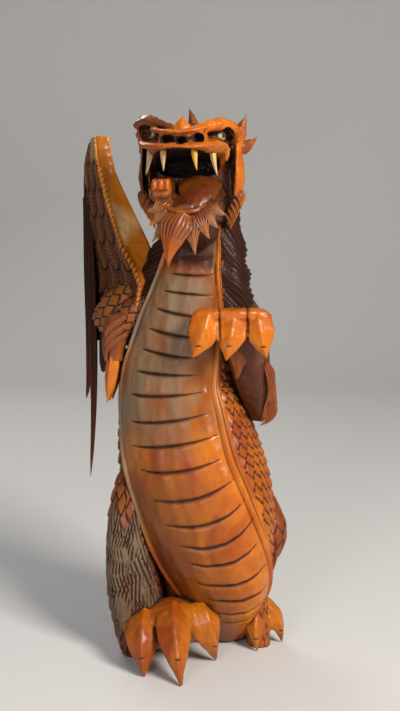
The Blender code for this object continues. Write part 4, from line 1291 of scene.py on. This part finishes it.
def left_arm():
    thumb = leaf((33, -44, 306), (34, -54, 288), (32, -46, 264), FRONT, 20, 14, CLAW, FLAT_BACK, 50, 50)
    made = [
        # painted shade: the upper arm and the forearm behind the paw are darkened as in shade; the paw is
        # left bright
        plain(limb(UPPER_ARM, FRONT, 80, 70), umber=0.9),
        plain(limb(FOREARM, (-0.3, -1, -0.6), 70, 60, 2.8), umber=0.95),
        plain(limb(PALM, FRONT, 60, 60, 3.6)),
        plain(thumb, umber=0.6),
    ]
    nicks = []
    for x, wide, tip in FINGERS:
        root, bend = (x, -63, 322), (x * 0.8 + tip[0] * 0.2, -77, 307)
        form = leaf(root, bend, tip, (0, -1, 0.1), wide, 17, WEDGE, FLAT_BACK, 60, 60)
        made.append(plain(form))
        spot = form[0][43, np.argmin(form[0][43, :, 1])]
        nicks.append((spot, (1, 0, 0.06), (0, 0, 1), 6.5, 2.4, 1.6))
    for x in FINGER_CUTS:
        nicks.append(((x, -74, 316), (0, -0.15, 1), (1, 0, 0), 34, 3.0, 1.8))
    melted("left_arm", made, bright_honey, 1.15, nicks=nicks, stroke=8.0, bite=0.9)
    tufts = []
    for k in range(7):
        root, bend = (58 + 1.2 * k, -30 + 1.8 * k, 276 - 6 * k), (69, -28 + 1.8 * k, 260 - 6 * k)
        tip = (57 - 0.6 * k, -27 + 1.6 * k, 236 - 3.0 * k)
        form = leaf(root, bend, tip, (0.7, -1, 0), 12, 7, rings=34, around=34)
        tufts.append(scored(form, 5, 1.2, 0.3, 0.1))
    piece("left_elbow_tufts", tufts, honey)


left_arm()

# The right arm.
# Held down beside the chest, half behind it: a scaled arm with tufts of hair, and three smooth
# claws that hang from it, mostly in the wing's shade.

RIGHT_ARM = (
    (-34, 8, 334, 14, 18),
    (-54, 8, 324, 16, 18),
    (-72, 2, 308, 13, 15),
    (-78, -3, 292, 11, 13),
    (-78, -5, 276, 9, 11),
)


def right_arm():
    skin, down, across, start, end = limb(RIGHT_ARM, (0.2, -1, 0), 80, 100)
    scale, cut = scaly(down, across, 8.5, across.max() / 11)
    fade = ease(70, 58, down)
    arm = shell(skin, start, end, 1.6 * fade * scale, cut=cut * fade, umber=0.55)
    claws, tufts = [], []
    for k in range(3):
        root = (-78 + k * 3, -10 + k * 8, 286)
        bend, tip = (-80, root[1] - 4, 262), (-85 + k * 2, root[1], 237)
        form = leaf(root, bend, tip, (-0.5, -1, 0), 14, 12, WEDGE, FLAT_BACK, 44, 44)
        claws.append(plain(form, umber=0.15))
    for k in range(9):
        turn, drop = (k % 3) / 2, 8 * (k // 3)
        y = -16 + 16 * turn
        root, bend = (-67 - 10 * turn, y, 318 - drop), (-89, y - 5, 308 - drop)
        tip = (-83 + 2 * turn, y + 2 * turn, 292 - drop - 3 * (k % 2))
        form = leaf(root, bend, tip, (-0.8, -1, 0), 12, 6, rings=30)
        tufts.append(scored(form, 5, 1.0, 0.5, 0.15))
    melted("right_claws", claws, bright_honey, 1.0, stroke=6.5, bite=0.8)
    piece("right_arm", [arm] + tufts, honey)


right_arm()

# The right leg and foot.
# A heavy folded leg: scales over the thigh and the heel, a shin of combed fur rubbed pale, and a
# smooth bright foot with three wedge-shaped toes.

RIGHT_LEG = (
    (-57, 8, 186, 9, 14),
    (-62, 5, 162, 15, 23),
    (-65, 0, 132, 19, 29),
    (-65, -4, 100, 22, 31),
    (-62, -6, 72, 24.5, 31),
    (-59, -7, 46, 24, 29),
    (-58, -6, 22, 20.5, 24),
    (-58, -5, -3, 14, 15),
)
RIGHT_ARCH = (
    (-62, -24, 24, 17, 20),
    (-44, -27, 32, 18, 22),
    (-24, -27, 38, 20, 22),
    (-5, -21, 36, 17, 19),
    (8, -14, 32, 11, 14),
)
# Each toe's root, its bend, its tip and the way its back looks
RIGHT_TOES = (
    ((-50, -32, 42), (-53, -62, 36), (-49, -64, -1), (-0.1, -1, 0.4)),
    ((-25, -36, 50), (-24, -72, 44), (-16, -84, -1), (0.1, -1, 0.4)),
    ((-1, -26, 48), (6, -48, 42), (15, -28, -1), (0.5, -1, 0.4)),
)


def foot(name, arch, toes, wide, thick, finish):
    made = [plain(limb(arch, FRONT, 50, 60, 2.8), umber=0.4)]
    nicks = []
    for root, bend, tip, out in toes:
        form = leaf(root, bend, tip, out, wide, thick, WEDGE, FLAT_BACK, 60, 60)
        made.append(plain(form, umber=0.25))
        row = form[0][44]
        spot = row[np.argmax((row - row.mean(axis=0)) @ np.array(out))]
        nicks.append((spot, np.cross(out, UP), (0, 0.25, 1), 7, 2.4, 1.6))
    melted(name, grounded(made), finish, 1.2, nicks=nicks, stroke=8.5, bite=1.0)


def right_leg():
    skin, down, across, start, end = limb(RIGHT_LEG, (-0.1, -1, 0), 205, 240)
    z = skin[..., 2]
    around = (across / across.max() * 2 * math.pi + math.pi) % (2 * math.pi) - math.pi
    middle = np.abs(around + 0.2 - 0.5 * ease(90, 35, z))
    fur = ease(1.35, 1.1, middle) * ease(144, 130, z + 12 * np.cos(around * 5)) * ease(20, 36, z)
    strands = np.zeros(skin.shape[:2])
    for slant, seed in ((0.16, 12), (-0.22, 31), (0.42, 53)):
        here = ease(0.42, 0.56, clouds(pairs(down / 11, across / 7), seed))
        strands = np.maximum(strands, here * combed(down + 6, across + slant * down, 3.6, seed, 0.8))
    scale, scale_cut = scaly(down + 0.25 * across, across, 14, across.max() / 14)
    scales = 1 - fur
    lift = -2.2 * fur * strands + scales * 2.0 * scale + 0.7 * gouged(skin, 14, 3)
    cut = np.maximum(fur * ease(0.2, 0.85, strands), scales * scale_cut)
    # painted shade: the scales darker round the inner side of the thigh, towards the body
    umber = scales * (0.45 + 0.3 * ease(0.4, 2.2, around)) + 0.85 * fur
    ash = fur * (0.72 - 0.5 * strands)
    made = grounded([shell(skin, start, end, lift, cut=cut, umber=umber, ash=ash)])
    for k in range(5):
        root, tip = (-74 + k * 1.5, 4 - k, 72 - k * 13), (-86 + k * 2.4, 2 - k, 52 - k * 11)
        form = leaf(root, (-87 + k * 2, 2 - k, 66 - k * 12), tip, (-1, -0.6, 0), 13, 6, LEAF, around=28)
        made.append(scored(form, 4, 0.8, 0.5, 0.1))
    piece("right_leg", made, honey)
    foot("right_foot", RIGHT_ARCH, RIGHT_TOES, 31, 25, bright_honey)


right_leg()

# The left leg and foot.
# The same leg on the far side, seen only at the haunch and the toes, and finished more plainly.

LEFT_LEG = (
    (54, 20, 152, 8, 12),
    (60, 20, 134, 14, 21),
    (63.5, 20, 110, 17.5, 27),
    (58, 19, 88, 14, 26),
    (52, 18, 64, 13, 24),
    (50, 16, 42, 13, 21),
    (54, 15, 20, 12, 18),
    (56, 15, -3, 10, 14),
)
LEFT_ARCH = ((50, 14, 20, 8, 10), (58, 12, 25, 9, 12), (66, 17, 20, 8, 10))
LEFT_TOES = (
    ((55, 10, 36), (50, -9, 27), (54, -7, -1), (-0.1, -1, 0.4)),
    ((60, 14, 38), (75, 5, 31), (79, 15, -1), (0.5, -1, 0.4)),
    ((58, 26, 30), (68, 32, 22), (64, 42, -1), (1, 0.2, 0.4)),
)


def left_leg():
    skin, down, across, start, end = limb(LEFT_LEG, (0.2, -1, 0), 125, 125)
    scale, cut = scaly(down, across, 12, across.max() / 12)
    plain_front = ease(20, 34, down)
    lift = 1.3 * scale * plain_front + 0.6 * gouged(skin, 14, 3)
    leg = shell(skin, start, end, lift, cut=0.8 * cut * plain_front, umber=0.08)
    piece("left_leg", grounded([leg]), honey)
    foot("left_foot", LEFT_ARCH, LEFT_TOES, 19, 16, bright_honey)


left_leg()

# The painted occlusion shade.
# Rays cast out from every point of the finished carving find the walls that face it, and the point is
# painted darker the more it is enclosed: in the mouth, under the brows, between feathers, locks and
# fingers.

SHADE_REACH = 0.013                        # how near a facing wall has to be to shade a point, m
SHADE_SLANT = 0.9
SHADE_FULL = 2.6


# Painted shade: each point is darkened by how many short rays from it hit other parts of the carving
def paint_occlusion_shade(pieces):
    grounds, faces, offset = [], [], 0
    for made in pieces:
        made.data.calc_loop_triangles()
        grounds.append(read(made.data.vertices, "co"))
        faces.append(read(made.data.loop_triangles, "vertices", 3, np.int32) + offset)
        offset += len(grounds[-1])
    tree = BVHTree.FromPolygons(np.vstack(grounds).tolist(), np.vstack(faces).tolist())
    for made, points in zip(pieces, grounds):
        normals = read(made.data.vertex_normals, "vector")
        aside = unit(np.cross(normals, (0.31, 0.53, 0.79)))
        other = np.cross(normals, aside)
        starts = (points + normals * 0.0007).tolist()
        occluded = np.zeros(len(points))
        for a, b in ((1, 0), (-1, 0), (0, 1), (0, -1), (0, 0)):
            ways = unit(normals + SHADE_SLANT * (a * aside + b * other)).tolist()
            far = [tree.ray_cast(start, way, SHADE_REACH)[3] for start, way in zip(starts, ways)]
            occluded += [0.0 if d is None else 1 - d / SHADE_REACH for d in far]
        occluded = np.clip(occluded / SHADE_FULL, 0, 1).astype(np.float32)
        made.data.attributes["occlusion_shade"].data.foreach_set("value", occluded)


carved = [made for made in bpy.context.scene.objects if made.type == "MESH"]
paint_occlusion_shade([made for made in carved if "occlusion_shade" in made.data.attributes])
